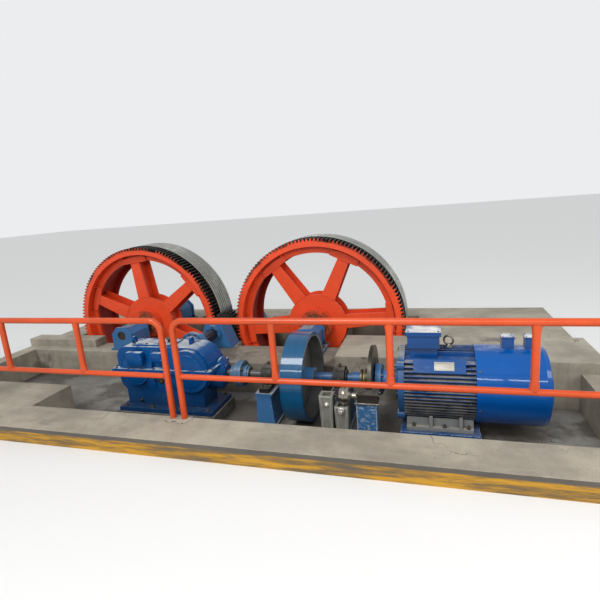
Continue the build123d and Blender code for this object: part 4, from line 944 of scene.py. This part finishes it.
# Gearbox
class CAPSTAN_OT_gearbox(Operator):
    """Casing paint, flange and anchor bolts, bearing covers, breather, level glass and drain plug"""
    bl_idname = "capstan.gearbox"
    bl_label = "Gearbox"

    def execute(self, context):
        # The cover's chips and worn edges show a light blue: worn paint and a painted highlight along the
        # arrises
        blue = painted("gearbox_blue_paint", paints().gearbox, chips=0.5, dust=0.95, grime_and_shade=0.5,
                       gloss=0.26, radius=0.009, under=(116, 146, 172), level=0.86, dusty=(178, 182, 184),
                       coat=0.2, shine=0.12, smears=0.25, polish=0.1)
        oily = painted("gearbox_base_paint", paints().gearbox, chips=0.5, dust=0.3, grime_and_shade=1.0,
                       gloss=0.34, radius=0.009, under=(84, 110, 132), level=0.94, dusty=(96, 104, 108),
                       coat=0.2, shine=0.12, smears=0.6, tint=self.oily_below)
        paint_cad(blue, "gearbox_cover")
        paint_cad(oily, "gearbox_base")
        paint_cad(metal("bed_iron", (92, 90, 84), 0.7, 0.4, (40, 41, 40), shine=0.1, dust=0.35),
                  "gearbox_bed")
        self.flange_bolts()
        self.covers(blue)
        self.pads(blue)
        self.anchors()
        self.fittings()
        return {"FINISHED"}

    @staticmethod
    def oily_below(place, base):
        """The casing's paint turns darker towards its foot."""
        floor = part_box("gearbox_bed")[1].z
        level = place.part("Z") + place.noise(6.0, 5.0).span(-0.08, 0.08)
        return (level.between(floor + 0.30, floor + 0.04) * 0.6).blend(base, (16, 34, 52))

    @staticmethod
    def casing():
        """The casing's front, rear and joint. The bed stands out round its faces."""
        low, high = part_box("gearbox_bed")
        return low.y + 0.060, high.y - 0.060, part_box("gearbox_cover")[0].z

    def flange_bolts(self):
        """Bolts round the joint of the two casing halves, with their nuts below."""
        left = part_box("gearbox_base")[0].x + CASING_LIP
        right = left + CASING_LENGTH + CASING_LIP + CASING_LIP
        front, rear, split = self.casing()
        front, rear = front - CASING_LIP, rear + CASING_LIP
        pinion_x = middle("pinion_gear").x
        places = []
        for number in range(8):
            x = left + 0.03 + (right - left - 0.06) * number / 7
            places.append((x, front))
            if abs(x - pinion_x) > 0.15 and x < right - 0.26:
                places.append((x, rear))
        for number in range(3):
            y = front + 0.05 + (rear - front - 0.10) * number / 2
            places.append((left, y))
            if abs(y - SHAFT.y) > 0.16:
                places.append((right, y))
        bm = bmesh.new()
        across = sizes().flange * 0.7
        for x, y in places:
            bolt(bm, (x, y, split + CASING_FLANGE), UP, across, x * 7.0, 0.004)
            bolt(bm, (x, y, split - CASING_FLANGE), DOWN, across, y * 5.0)
        blue = painted("casing_bolt_blue", (14, 60, 110), chips=0.6, dust=0.6, under=(120, 132, 140))
        piece("casing_bolts", bm, blue)

    def covers(self, material):
        """Bearing covers on the casing's rear and round the two shafts, and plain discs on its front."""
        across = sizes().cover
        pinion = middle("pinion_gear")
        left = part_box("gearbox_base")[0].x + 2 * CASING_LIP
        front, rear, split = self.casing()
        boss, nose = left + 0.195, left + CASING_LENGTH + 0.008
        bm, bolts = bmesh.new(), bmesh.new()
        for x, radius in ((left + CASING_LENGTH - CASING_ROUND, 0.158), (boss, 0.128)):
            knob(bm, standing((x, front, split), TO_FRONT), 56, (radius, -0.001), (radius, 0.003),
                 (radius - 0.004, 0.005))
        radius = 0.098
        knob(bm, standing((boss, rear, split), TO_REAR), 44, (radius, -0.001), (radius, 0.012),
             (radius - 0.004, 0.016), (radius * 0.62, 0.016), (radius * 0.55, 0.024), (0.0, 0.026))
        bolt_ring(bolts, (boss, rear + 0.016, split), TO_REAR, radius * 0.82, 6, across, 0.39)
        ring_plate(bm, standing((pinion.x, rear + 0.035, split), TO_REAR), 0.0608, 0.112, 0.014, 44)
        bolt_ring(bolts, (pinion.x, rear + 0.049, split), TO_REAR, 0.092, 6, across)
        bolt_ring(bolts, on_shaft(nose - 0.004), TO_RIGHT, 0.127, 8, across * 0.8, 0.39)
        collar(bm, nose + 0.042, 1, 0.0402, 0.084, 0.007)
        piece("bearing_covers", bm, material)
        piece("cover_bolts", bolts, bolt_steel())

    def pads(self, material):
        """Two thick blocks on the cover's front, under the lifting lugs."""
        front = self.casing()[0]
        bm = bmesh.new()
        for left, right, low, high in CASING_PADS:
            block = standing(((left + right) / 2, front + 0.004, (low + high) / 2), TO_FRONT)
            brick(bm, block, right - left, high - low, 0.052)
        ease(bm, 0.006, 2)
        piece("cover_pads", bm, material)

    @staticmethod
    def anchors():
        """Anchor nuts round the casing's foot."""
        low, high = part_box("gearbox_bed")
        bm = bmesh.new()
        for share in (0.07, 0.36, 0.66, 0.95):
            x = low.x + BED_EDGE + (high.x - low.x - 2 * BED_EDGE) * share
            for y in (low.y + 0.040, high.y - 0.040):
                bolt(bm, (x, y, high.z + 0.040), UP, sizes().anchor * 0.7, share * 4, 0.014)
        piece("casing_anchors", bm, bolt_steel())

    def fittings(self):
        """Breather on the lid, lid screws, oil level glass and drain plug."""
        front, rear, split = self.casing()
        bed_low, bed_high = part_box("gearbox_bed")
        left, mid = bed_low.x + BED_EDGE, (front + rear) / 2
        lid_x, lid_top = left + (CASING_LENGTH - CASING_ROUND) / 2, split + CASING_ROUND + 0.014
        bm = bmesh.new()
        for x in (-0.195, -0.065, 0.065, 0.195):
            for y in (-0.080, 0.080):
                bolt(bm, (lid_x + x, mid + y, lid_top), UP, sizes().cover * 0.85, x)
        knob(bm, standing((lid_x + 0.13, mid, lid_top)), 24, (0.020, -0.002), (0.020, 0.014), (0.014, 0.018),
             (0.014, 0.024), (0.028, 0.026), (0.030, 0.036), (0.022, 0.044), (0.0, 0.047))
        bolt(bm, (left + 0.205, front + 0.038, bed_high.z + 0.085), TO_FRONT, sizes().flange)
        glass = standing((left + 0.445, front + 0.040, split - 0.11), TO_FRONT)
        ring_plate(bm, glass, 0.017, 0.028, 0.012, 24)
        piece("casing_fittings", bm, metal("fitting_steel", (96, 92, 84), 0.4, 0.3, dust=0.4))
        lens = bmesh.new()
        knob(lens, glass, 20, (0.018, -0.002), (0.018, 0.006), (0.0, 0.008))
        material, place, shader = blank("oil_glass")
        join(place.noise(60.0).blend((70, 52, 26), (120, 96, 50)), shader["Base Color"])
        shader["Roughness"].default_value = 0.12
        piece("oil_level_glass", lens, material)


# Line shaft
class CAPSTAN_OT_line_shaft(Operator):
    """Coupling, brake wheel, disc, pillow blocks and pedestals"""
    bl_idname = "capstan.line_shaft"
    bl_label = "Line shaft"

    def execute(self, context):
        pedestal = paints().pedestal
        for node, finish in (
                ("gear_coupling", painted("coupling_blue", (66, 104, 136), chips=0.8, grime_and_shade=1.0, gloss=0.3,
                                          radius=0.003, under=CHIP_GREY, shine=0.5)),
                ("motor_coupling", painted("pin_coupling_blue", pedestal, chips=0.6, grime_and_shade=0.7, gloss=0.34,
                                           radius=0.003, under=CHIP_GREY)),
                ("line_shaft", painted("line_shaft_paint", (36, 82, 128), chips=0.8, grime_and_shade=1.0, gloss=0.3,
                                       radius=0.003, under=(120, 122, 116), tint=self.bare_end, shine=0.5)),
                ("brake_wheel", self.brake_paint(paints().brake)),
                ("brake_disc", self.disc_steel()),
                ("pillow_blocks", metal("pillow_iron", (44, 44, 42), 0.42, 0.7, shine=0.45, dust=0.35)),
                ("line_pedestals", painted("pedestal_blue_paint", pedestal, chips=0.6, dust=0.7, grime_and_shade=1.0,
                                           gloss=0.45, under=(160, 162, 158)))):
            paint_cad(finish, node)
        self.turning_bolts()
        self.pillow_bolts()
        return {"FINISHED"}

    @staticmethod
    def bare_end(place, base):
        """The shaft is bare and oily between the gearbox and the brake wheel."""
        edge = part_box("brake_wheel")[0].x
        oily = place.stretched((1.5, 70.0, 70.0)).noise(1.0, 3.0, 0.7)
        steel = oily.between(0.35, 0.7).blend((34, 34, 32), (104, 106, 104))
        return place.part("X").between(edge + 0.01, edge).blend(base, steel)

    @staticmethod
    def brake_paint(colour):
        """Blue paint that the linings have rubbed lighter in bands round the rim, worn paint with a painted
        sheen, dusty inside the dish.
        """
        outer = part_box("brake_wheel")[1].z - SHAFT.z

        def rubbed(place, base):
            radius = place.radius(SHAFT, ROUND_X)
            marks = place.stretched((150.0, 0.7, 0.7)).noise(1.0, 4.0, 0.7)
            # Lighter bands round the rim's tread: rubbed paint and a painted sheen
            tread_and_sheen = radius.between(outer - 0.004, outer - 0.001) * marks.between(0.42, 0.7)
            base = tread_and_sheen.blend(base, ink(colour, 1.25))
            base = (radius.between(outer - 0.024, outer - 0.030) * 0.88).blend(base, (100, 96, 88))
            return radius.between(0.088, 0.080).blend(base, (66, 112, 160))
        return painted("brake_wheel_paint", colour, chips=0.4, grime_and_shade=0.6, gloss=0.28, radius=0.004,
                       tint=rubbed, shine=0.2, coat=0.7, polish=0.07, smears=0.3, under=(120, 140, 156))

    @staticmethod
    def disc_steel():
        """Turned steel: bright where the pads run, brown and oily inside that ring."""
        material, place, shader = blank("brake_disc_steel")
        low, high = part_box("brake_disc")
        outer, hub_end = high.z - SHAFT.z, low.x + 0.110
        radius = place.radius(SHAFT, ROUND_X)
        rings = place.make("ShaderNodeCombineXYZ", {"X": radius * 220.0}).noise(1.0, 3.0, 0.7)
        tone = place.use(surface_grain, Scale=120.0)["Tone"]
        brown = tone.between(0.4, 0.62).blend((50, 47, 39), (76, 73, 62))
        bright = rings.between(0.35, 0.65).blend((84, 82, 74), (140, 138, 128))
        run = radius.between(outer - 0.105, outer - 0.095) * radius.between(outer - 0.001, outer - 0.006)
        sleeve = place.part("X").between(hub_end, hub_end - 0.003)
        paint = (place.patches(24.0, 0.35, 0.3) * 0.6).blend((34, 84, 130), (52, 52, 48))
        join(sleeve.blend((run * 0.6).blend(brown, bright), paint), shader["Base Color"])
        join(sleeve.span(0.85, 0.0), shader["Metallic"])
        join(rings.span(0.28, 0.48), shader["Roughness"])
        relief(shader, rings, 0.3, 0.0006, place.use(edge_wear, Radius=0.002, Amount=0.8)["Normal"])
        return material

    @staticmethod
    def turning_bolts():
        """Bolts, rings and keys that turn with the line shaft."""
        low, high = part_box("gear_coupling")
        mid = (low.x + high.x) / 2
        bm = bmesh.new()
        for way in (-1, 1):
            bolt_ring(bm, on_shaft(mid + way * 0.032), (way, 0, 0), 0.101, 10, 0.018, 0.2)
            collar(bm, mid + way * 0.090, way, SHAFT_FIT, 0.058, 0.005, 36)
        drum(bm, standing(on_shaft(mid - 0.0015), TO_RIGHT), 0.1235, 0.003, 48)
        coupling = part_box("motor_coupling")[0].x
        bolt_ring(bm, on_shaft(coupling), TO_LEFT, 0.108, 8, 0.018, 0.1)
        bolt_ring(bm, on_shaft(coupling + 0.048), TO_RIGHT, 0.106, 8, 0.020, 0.1)
        disc_low, disc_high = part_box("brake_disc")
        bolt_ring(bm, on_shaft(disc_high.x), TO_RIGHT, 0.066, 6, 0.019)
        wheel_low, wheel_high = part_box("brake_wheel")
        web = wheel_low.x + 0.063
        for x, way in ((web, -1), (wheel_high.x, 1)):
            collar(bm, x, way, SHAFT_FIT, 0.056, 0.010, 32)
        for x in (web - 0.002, disc_low.x - 0.002):
            brick(bm, standing((x, SHAFT.y, SHAFT.z + 0.036), TO_LEFT), 0.012, 0.012, 0.03)
        collar(bm, disc_low.x + 0.070, 1, SLEEVE_FIT, 0.078, 0.020)
        piece("line_shaft_bolts", bm, bolt_steel(), "drive_shaft")
        ring = bmesh.new()
        collar(ring, disc_low.x + 0.093, 1, SLEEVE_FIT, 0.064, 0.015)
        brass = metal("collar_brass", (150, 138, 62), 0.36, 0.4, (66, 54, 34), shine=0.7)
        piece("shaft_collar", ring, brass, "drive_shaft")

    @staticmethod
    def pillow_bolts():
        """Cap studs, seat bolts and grease cups of the pillow blocks."""
        low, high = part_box("pillow_blocks")
        bm = bmesh.new()
        seat = low.z + 0.042
        for x in (low.x + 0.060, high.x - 0.060):
            for way in (-1, 1):
                for shift in (-0.022, 0.022):
                    at = (x + shift, SHAFT.y + way * 0.150, seat)
                    bolt(bm, at, UP, sizes().flange * 0.9, shift, 0.012)
                y = SHAFT.y + way * 0.093
                rod(bm, (x, y, seat - 0.002), (x, y, SHAFT.z + 0.02), 0.012)
                bolt(bm, (x, y, SHAFT.z + 0.012), UP, 0.024, 0.3, 0.014)
            knob(bm, standing((x, SHAFT.y, high.z - 0.001)), 14, (0.009, -0.004), (0.009, 0.010),
                 (0.013, 0.012), (0.013, 0.026), (0.0, 0.030))
        piece("pillow_bolts", bm, bolt_steel())


# Disc brake
class CAPSTAN_OT_disc_brake(Operator):
    """Caliper, air chamber, cast legs and stand"""
    bl_idname = "capstan.disc_brake"
    bl_label = "Disc brake"

    def execute(self, context):
        legs = metal("leg_aluminium", (150, 150, 140), 0.5, 0.3, (84, 80, 70), radius=0.006, dust=0.3,
                     shine=0.45)
        paint_cad(self.stand_paint(), "caliper_stand")
        paint_cad(metal("caliper_iron", (58, 54, 50), 0.45, 0.5, shine=0.5, dust=0.3), "caliper")
        paint_cad(metal("chamber_steel", (178, 172, 158), 0.24, 0.25, (70, 62, 52)), "brake_actuator")
        paint_cad(legs, "actuator_legs")
        self.caliper_fittings()
        self.leg_fittings()
        return {"FINISHED"}

    @staticmethod
    def stand_paint():
        """Blue paint scraped through to a pale primer in many places."""
        def scraped(place, base):
            marks = place.stretched((1.0, 1.0, 2.2)).patches(26.0, 0.38, 0.05)
            return (marks * 0.75).blend(base, (158, 172, 184))
        return painted("stand_blue_paint", (50, 96, 140), chips=0.95, grime_and_shade=0.5, dust=0.5, gloss=0.4,
                       radius=0.012, under=(176, 180, 178), tint=scraped)

    @staticmethod
    def caliper_fittings():
        """Bolts and springs of the caliper, its cross bar, and the clamp and port of the air chamber."""
        low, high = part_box("caliper")
        mid = (low.x + high.x) / 2
        bm = bmesh.new()
        for x, way in ((low.x, -1), (high.x, 1)):
            for y in (low.y + 0.03, low.y + 0.09):
                bolt(bm, (x, y, (low.z + high.z) / 2 + 0.018), (way, 0, 0), sizes().cover)
        for x in (mid - 0.045, mid + 0.045):
            bolt(bm, (x, low.y + 0.035, high.z), UP, sizes().flange * 0.8)
            for rise in (0.006, 0.013, 0.0):
                hoop(bm, standing((x, high.y - 0.05, high.z + rise)), 0.013, 0.003, 20, 6)
            drum(bm, standing((x, high.y - 0.05, high.z - 0.002)), 0.008, 0.026, 10)
        chamber_low, chamber_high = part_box("brake_actuator")
        chamber = (chamber_low + chamber_high) / 2
        band = chamber_low.x + 0.060
        brick(bm, standing((band, chamber.y, chamber_high.z - 0.004)), 0.022, 0.014, 0.024)
        bolt(bm, (band + 0.011, chamber.y, chamber_high.z + 0.010), TO_RIGHT, 0.012)
        knob(bm, standing((chamber_low.x, chamber.y, chamber.z), TO_LEFT), 14, (0.011, -0.002),
             (0.011, 0.012), (0.007, 0.014), (0.007, 0.030), (0.0, 0.032))
        bar = bmesh.new()
        seat = standing((mid - 0.004, low.y - 0.004, low.z + 0.002), TO_FRONT)
        brick(bar, seat, high.x - low.x + 0.03, 0.012, 0.014)
        ease(bar, 0.003, 2)
        piece("caliper_bar", bar, metal("bar_steel", (176, 170, 160), 0.34, 0.3))
        piece("caliper_bolts", bm, bolt_steel())

    @staticmethod
    def leg_fittings():
        """A knob on each cast leg, and the raised waisted edges and foot band of its front."""
        low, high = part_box("actuator_legs")
        knobs = bmesh.new()
        knob(knobs, standing((low.x + LEG_WIDTH / 2 + 0.006, low.y, high.z - 0.072), TO_FRONT), 22,
             (0.021, -0.002), (0.021, 0.006), (0.015, 0.010), (0.013, 0.018), (0.007, 0.023), (0.0, 0.024))
        knob(knobs, standing((high.x - LEG_WIDTH / 2, low.y, high.z - 0.112), TO_FRONT), 26,
             (0.026, -0.002), (0.026, 0.010), (0.019, 0.014), (0.019, 0.044), (0.015, 0.050), (0.0, 0.051))
        steel = metal("knob_steel", (205, 202, 194), 0.3, 0.12, shine=0.6)
        piece("leg_knobs", knobs, steel)
        bm = bmesh.new()
        half, sink = 0.150, 0.020
        bend = (half ** 2 + sink ** 2) / (2 * sink)
        turn = math.asin(half / bend)
        for left, top in ((low.x, high.z), (high.x - LEG_WIDTH, high.z - 0.085)):
            mid, centre, right = top - half - 0.012, left + LEG_WIDTH / 2, left + LEG_WIDTH
            for x, start in ((left + 0.026 - bend, -turn), (right - 0.026 + bend, math.pi - turn)):
                hoop(bm, standing((x, low.y, mid), TO_FRONT), bend, 0.0065, 16, 8, 2 * turn, start)
            for z, gap, width, height in ((top - 0.010, 0.012, 0.014, 0.008),
                                          (mid - half - 0.006, 0.034, 0.016, 0.009)):
                seat = standing((centre, low.y + 0.002, z), TO_FRONT)
                brick(bm, seat, LEG_WIDTH - gap, width, height)
        ribs = metal("rib_aluminium", (176, 176, 166), 0.4, 0.2, (90, 86, 76), shine=0.45)
        piece("leg_ribs", bm, ribs)


# Motor
class CAPSTAN_OT_motor(Operator):
    """Motor paint, bare rating plate, lifting eye, bolts, fan grille and terminal box screws"""
    bl_idname = "capstan.motor"
    bl_label = "Motor"

    def execute(self, context):
        blue = paints().motor
        paint_cad(painted("shield_blue_paint", (34, 78, 126), chips=0.5, dust=0.6, grime_and_shade=0.8, gloss=0.34,
                          radius=0.005, under=(120, 130, 140)), "motor_end_shield")
        paint_cad(painted("motor_frame_paint", blue, chips=0.5, dust=0.7, grime_and_shade=0.8, gloss=0.26,
                          radius=0.003, tint=self.dusty_below, shine=0.3, coat=0.2, level=0.9, smears=0.5,
                          under=(96, 122, 150)), "motor_frame")
        # The near-white band on the cowl's very top is dust and a painted reflection
        paint_cad(painted("cowl_blue_paint", (0, 76, 148), chips=0.3, dust=1.0, grime_and_shade=0.2, gloss=0.24,
                          polish=0.07, radius=0.005, fade=0.08, shine=0.1, coat=0.62, level=0.955,
                          dusty=(206, 208, 208), smears=0.15, under=(120, 150, 176)), "motor_fan_cowl")
        for node in ("motor_terminal_box", "motor_cowl_boxes"):
            paint_cad(painted(f"{node}_paint", blue, chips=0.4, dust=1.0, grime_and_shade=0.4, gloss=0.24,
                              radius=0.005, shine=0.3, coat=0.3, level=0.9, dusty=(226, 222, 214),
                              smears=0.3, under=(130, 150, 170)), node)
        paint_cad(painted("feet_grey_paint", (128, 130, 128), chips=0.5, dust=0.5, grime_and_shade=0.5, gloss=0.6,
                          radius=0.005, under=(60, 90, 140)), "motor_feet")
        paint_cad(painted("bed_blue_paint", (8, 66, 120), chips=0.8, dust=0.15, grime_and_shade=0.5, smears=0.4,
                          gloss=0.5, radius=0.008, under=(120, 140, 156)), "motor_bed_plate")
        self.screws()
        self.eye()
        self.plate()
        self.grille()
        return {"FINISHED"}

    @staticmethod
    def dusty_below(place, base):
        """Grey dust baked on the lower fins."""
        level = place.part("Z") + place.noise(5.0, 5.0).span(-0.03, 0.03)
        base = (level.between(SHAFT.z + 0.03, SHAFT.z - 0.10) * 0.85).blend(base, (74, 76, 76))
        return (place.patches(9.0, 0.3, 0.2) * 0.5).blend(base, (66, 80, 96))

    @staticmethod
    def screws():
        """Bolts of the end shield, the feet, the terminal boxes and the cowl."""
        cover, screw = sizes().cover, sizes().screw
        bm = bmesh.new()
        low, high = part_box("motor_end_shield")
        lip = high.x - 0.048
        for corner in range(4):
            turn = math.radians(45 + 90 * corner)
            at = (lip - 0.010, SHAFT.y + 0.285 * math.cos(turn), SHAFT.z + 0.285 * math.sin(turn))
            bolt(bm, at, TO_LEFT, sizes().flange * 0.9, turn)
        bolt_ring(bm, on_shaft(lip), TO_LEFT, 0.264, 4, cover)
        bolt_ring(bm, on_shaft(low.x), TO_LEFT, 0.128, 6, cover, 0.5)
        box_low, box_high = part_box("motor_terminal_box")
        for x in (box_low.x + 0.020, box_high.x - 0.020):
            for y in (box_low.y + 0.020, box_high.y - 0.020):
                bolt(bm, (x, y, box_high.z), UP, screw)
        lid_low, lid_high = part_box("motor_cowl_boxes")
        for start in (lid_low.x, lid_high.x - COWL_BOX):
            for x in (start + 0.012, start + 0.084):
                for y in (lid_low.y + 0.012, lid_high.y - 0.012):
                    bolt(bm, (x, y, lid_high.z), UP, screw * 0.7)
        cowl_low, cowl_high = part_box("motor_fan_cowl")
        radius = (cowl_high.z - cowl_low.z) / 2
        for angle in (38, 142, 200, 270, 340):
            turn = math.radians(angle)
            out = Vector((0.0, math.cos(turn), math.sin(turn)))
            bolt(bm, on_shaft(cowl_low.x + 0.025) + out * (radius - 0.0005), out, screw)
        feet_low, feet_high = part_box("motor_feet")
        for x in (feet_low.x + 0.055, feet_low.x + 0.285, feet_high.x - 0.035):
            for y in (feet_low.y + 0.0175, feet_high.y - 0.0175):
                bolt(bm, (x, y, feet_low.z + 0.030), UP, 0.024, x, 0.014)
        piece("motor_bolts", bm, bolt_steel())

    @staticmethod
    def eye():
        """A lifting eye on the frame's crown, beside the terminal box."""
        x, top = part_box("motor_terminal_box")[1].x + 0.058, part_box("motor_frame")[1].z
        bm = bmesh.new()
        knob(bm, standing((x, SHAFT.y, top)), 24, (0.030, -0.012), (0.030, 0.006), (0.020, 0.012),
             (0.013, 0.024), (0.0, 0.026))
        hoop(bm, standing((x, SHAFT.y, top + 0.054), (0.35, 1.0, 0.0)), 0.036, 0.008, 40, 12)
        piece("lifting_eye", bm, metal("eye_steel", (140, 138, 128), 0.42, 0.3))

    @staticmethod
    def plate():
        """A bare rating plate with four rivets on the frame's flat pad."""
        out = Vector((0.0, -1.0, 1.0)).normalized()
        seat = standing(on_shaft(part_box("motor_frame")[0].x + 0.2955) + out * 0.298, out)
        bm = bmesh.new()
        brick(bm, shifted(seat, z=-0.0005), 0.145, 0.070, 0.0025)
        ease(bm, 0.0008, 2)
        for across in (-0.066, 0.066):
            for up in (-0.029, 0.029):
                knob(bm, shifted(seat, across, up, 0.0018), 12, (0.004, -0.001), (0.0035, 0.0015),
                     (0.0, 0.0025))
        bare = metal("plate_aluminium", (190, 186, 174), 0.5, 0.25, (120, 112, 98), shine=0.3,
                     bands=(4.0, 4.0, 260.0), radius=0.001)
        piece("bare_plate", bm, bare)

    @staticmethod
    def grille():
        """Wire rings and spokes of the fan inlet, let into the cowl's end."""
        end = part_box("motor_fan_cowl")[1].x - 0.012
        seat = standing(on_shaft(end), TO_RIGHT)
        bm = bmesh.new()
        for number in range(9):
            hoop(bm, standing(on_shaft(end + 0.003), TO_RIGHT), 0.030 + 0.021 * number, 0.0022, 48, 6)
        for number in range(8):
            angle = math.pi * 2 * number / 8
            out = Vector((0.0, math.cos(angle), math.sin(angle)))
            centre = on_shaft(end + 0.0065)
            rod(bm, centre + out * 0.022, centre + out * 0.203, 0.0026, 6)
        knob(bm, seat, 24, (0.030, 0.0), (0.030, 0.007), (0.0, 0.010))
        piece("fan_grille", bm, metal("grille_wire", (70, 72, 74), 0.4, 0.3))
        # A flat near-black disc behind the grille stands for the fan and the shade inside the cowl's inlet,
        # partly a painted shade
        disc = bmesh.new()
        knob(disc, seat, 48, (0.2045, 0.0), (0.2045, 0.0012))
        dark = painted("inlet_black", (18, 19, 21), chips=0.0, grime_and_shade=0.3, gloss=0.7)
        piece("fan_inlet", disc, dark)


# Guard rail
class CAPSTAN_OT_guard_rail(Operator):
    """Paint and weld beads of the guard rail"""
    bl_idname = "capstan.guard_rail"
    bl_label = "Guard rail"

    def execute(self, context):
        orange = painted("rail_orange_paint", paints().rail, chips=0.3, grime_and_shade=0.5, gloss=0.24,
                         under=(120, 52, 30), coat=0.2, smears=0.6)
        paint_cad(orange, "guard_frame_left", "guard_frame_right", "guard_middle_rails", "guard_stub_posts")
        bm = bmesh.new()
        level = middle("guard_middle_rails").z
        for side in SIDES:
            low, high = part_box(f"guard_frame_{side}")
            pipe, y = (high.y - low.y) / 2, (low.y + high.y) / 2
            for x, way in ((low.x + 2 * pipe, -1), (high.x - 2 * pipe, 1)):
                hoop(bm, standing((x - way * 0.001, y, level), TO_RIGHT), 0.0215, sizes().bead, 24, 6)
        piece("rail_welds", bm, orange, crease=60.0)
        return {"FINISHED"}


class CAPSTAN_PT_panel(Panel):
    """Lists the capstan's pieces in the sidebar"""
    bl_idname = "CAPSTAN_PT_panel"
    bl_label = "Haul-off capstan"
    bl_space_type = "VIEW_3D"
    bl_region_type = "UI"
    bl_category = "Capstan"

    def draw(self, context):
        layout, scene = self.layout, context.scene
        for maker in MAKERS:
            layout.operator(maker.bl_idname)
        for label, group in (("Paints", scene.capstan_paints), ("Fasteners", scene.capstan_fasteners),
                             ("Stage", scene.capstan_stage)):
            box = layout.box()
            box.label(text=label)
            for name in group.__annotations__:
                box.prop(group, name)


MAKERS = (CAPSTAN_OT_stage, CAPSTAN_OT_concrete, CAPSTAN_OT_wheels, CAPSTAN_OT_bearings, CAPSTAN_OT_gearbox,
          CAPSTAN_OT_line_shaft, CAPSTAN_OT_disc_brake, CAPSTAN_OT_motor, CAPSTAN_OT_guard_rail)
CLASSES = (CapstanPaints, CapstanFasteners, CapstanStage) + MAKERS + (CAPSTAN_PT_panel,)


def register():
    for item in CLASSES:
        bpy.utils.register_class(item)
    bpy.types.Scene.capstan_paints = PointerProperty(type=CapstanPaints)
    bpy.types.Scene.capstan_fasteners = PointerProperty(type=CapstanFasteners)
    bpy.types.Scene.capstan_stage = PointerProperty(type=CapstanStage)


def unregister():
    del bpy.types.Scene.capstan_stage, bpy.types.Scene.capstan_fasteners, bpy.types.Scene.capstan_paints
    for item in reversed(CLASSES):
        bpy.utils.unregister_class(item)


def main():
    register()
    bpy.ops.capstan.stage()
    bpy.ops.capstan.concrete()
    bpy.ops.capstan.wheels()
    bpy.ops.capstan.bearings()
    bpy.ops.capstan.gearbox()
    bpy.ops.capstan.line_shaft()
    bpy.ops.capstan.disc_brake()
    bpy.ops.capstan.motor()
    bpy.ops.capstan.guard_rail()


if __name__ == "__main__":
    main()
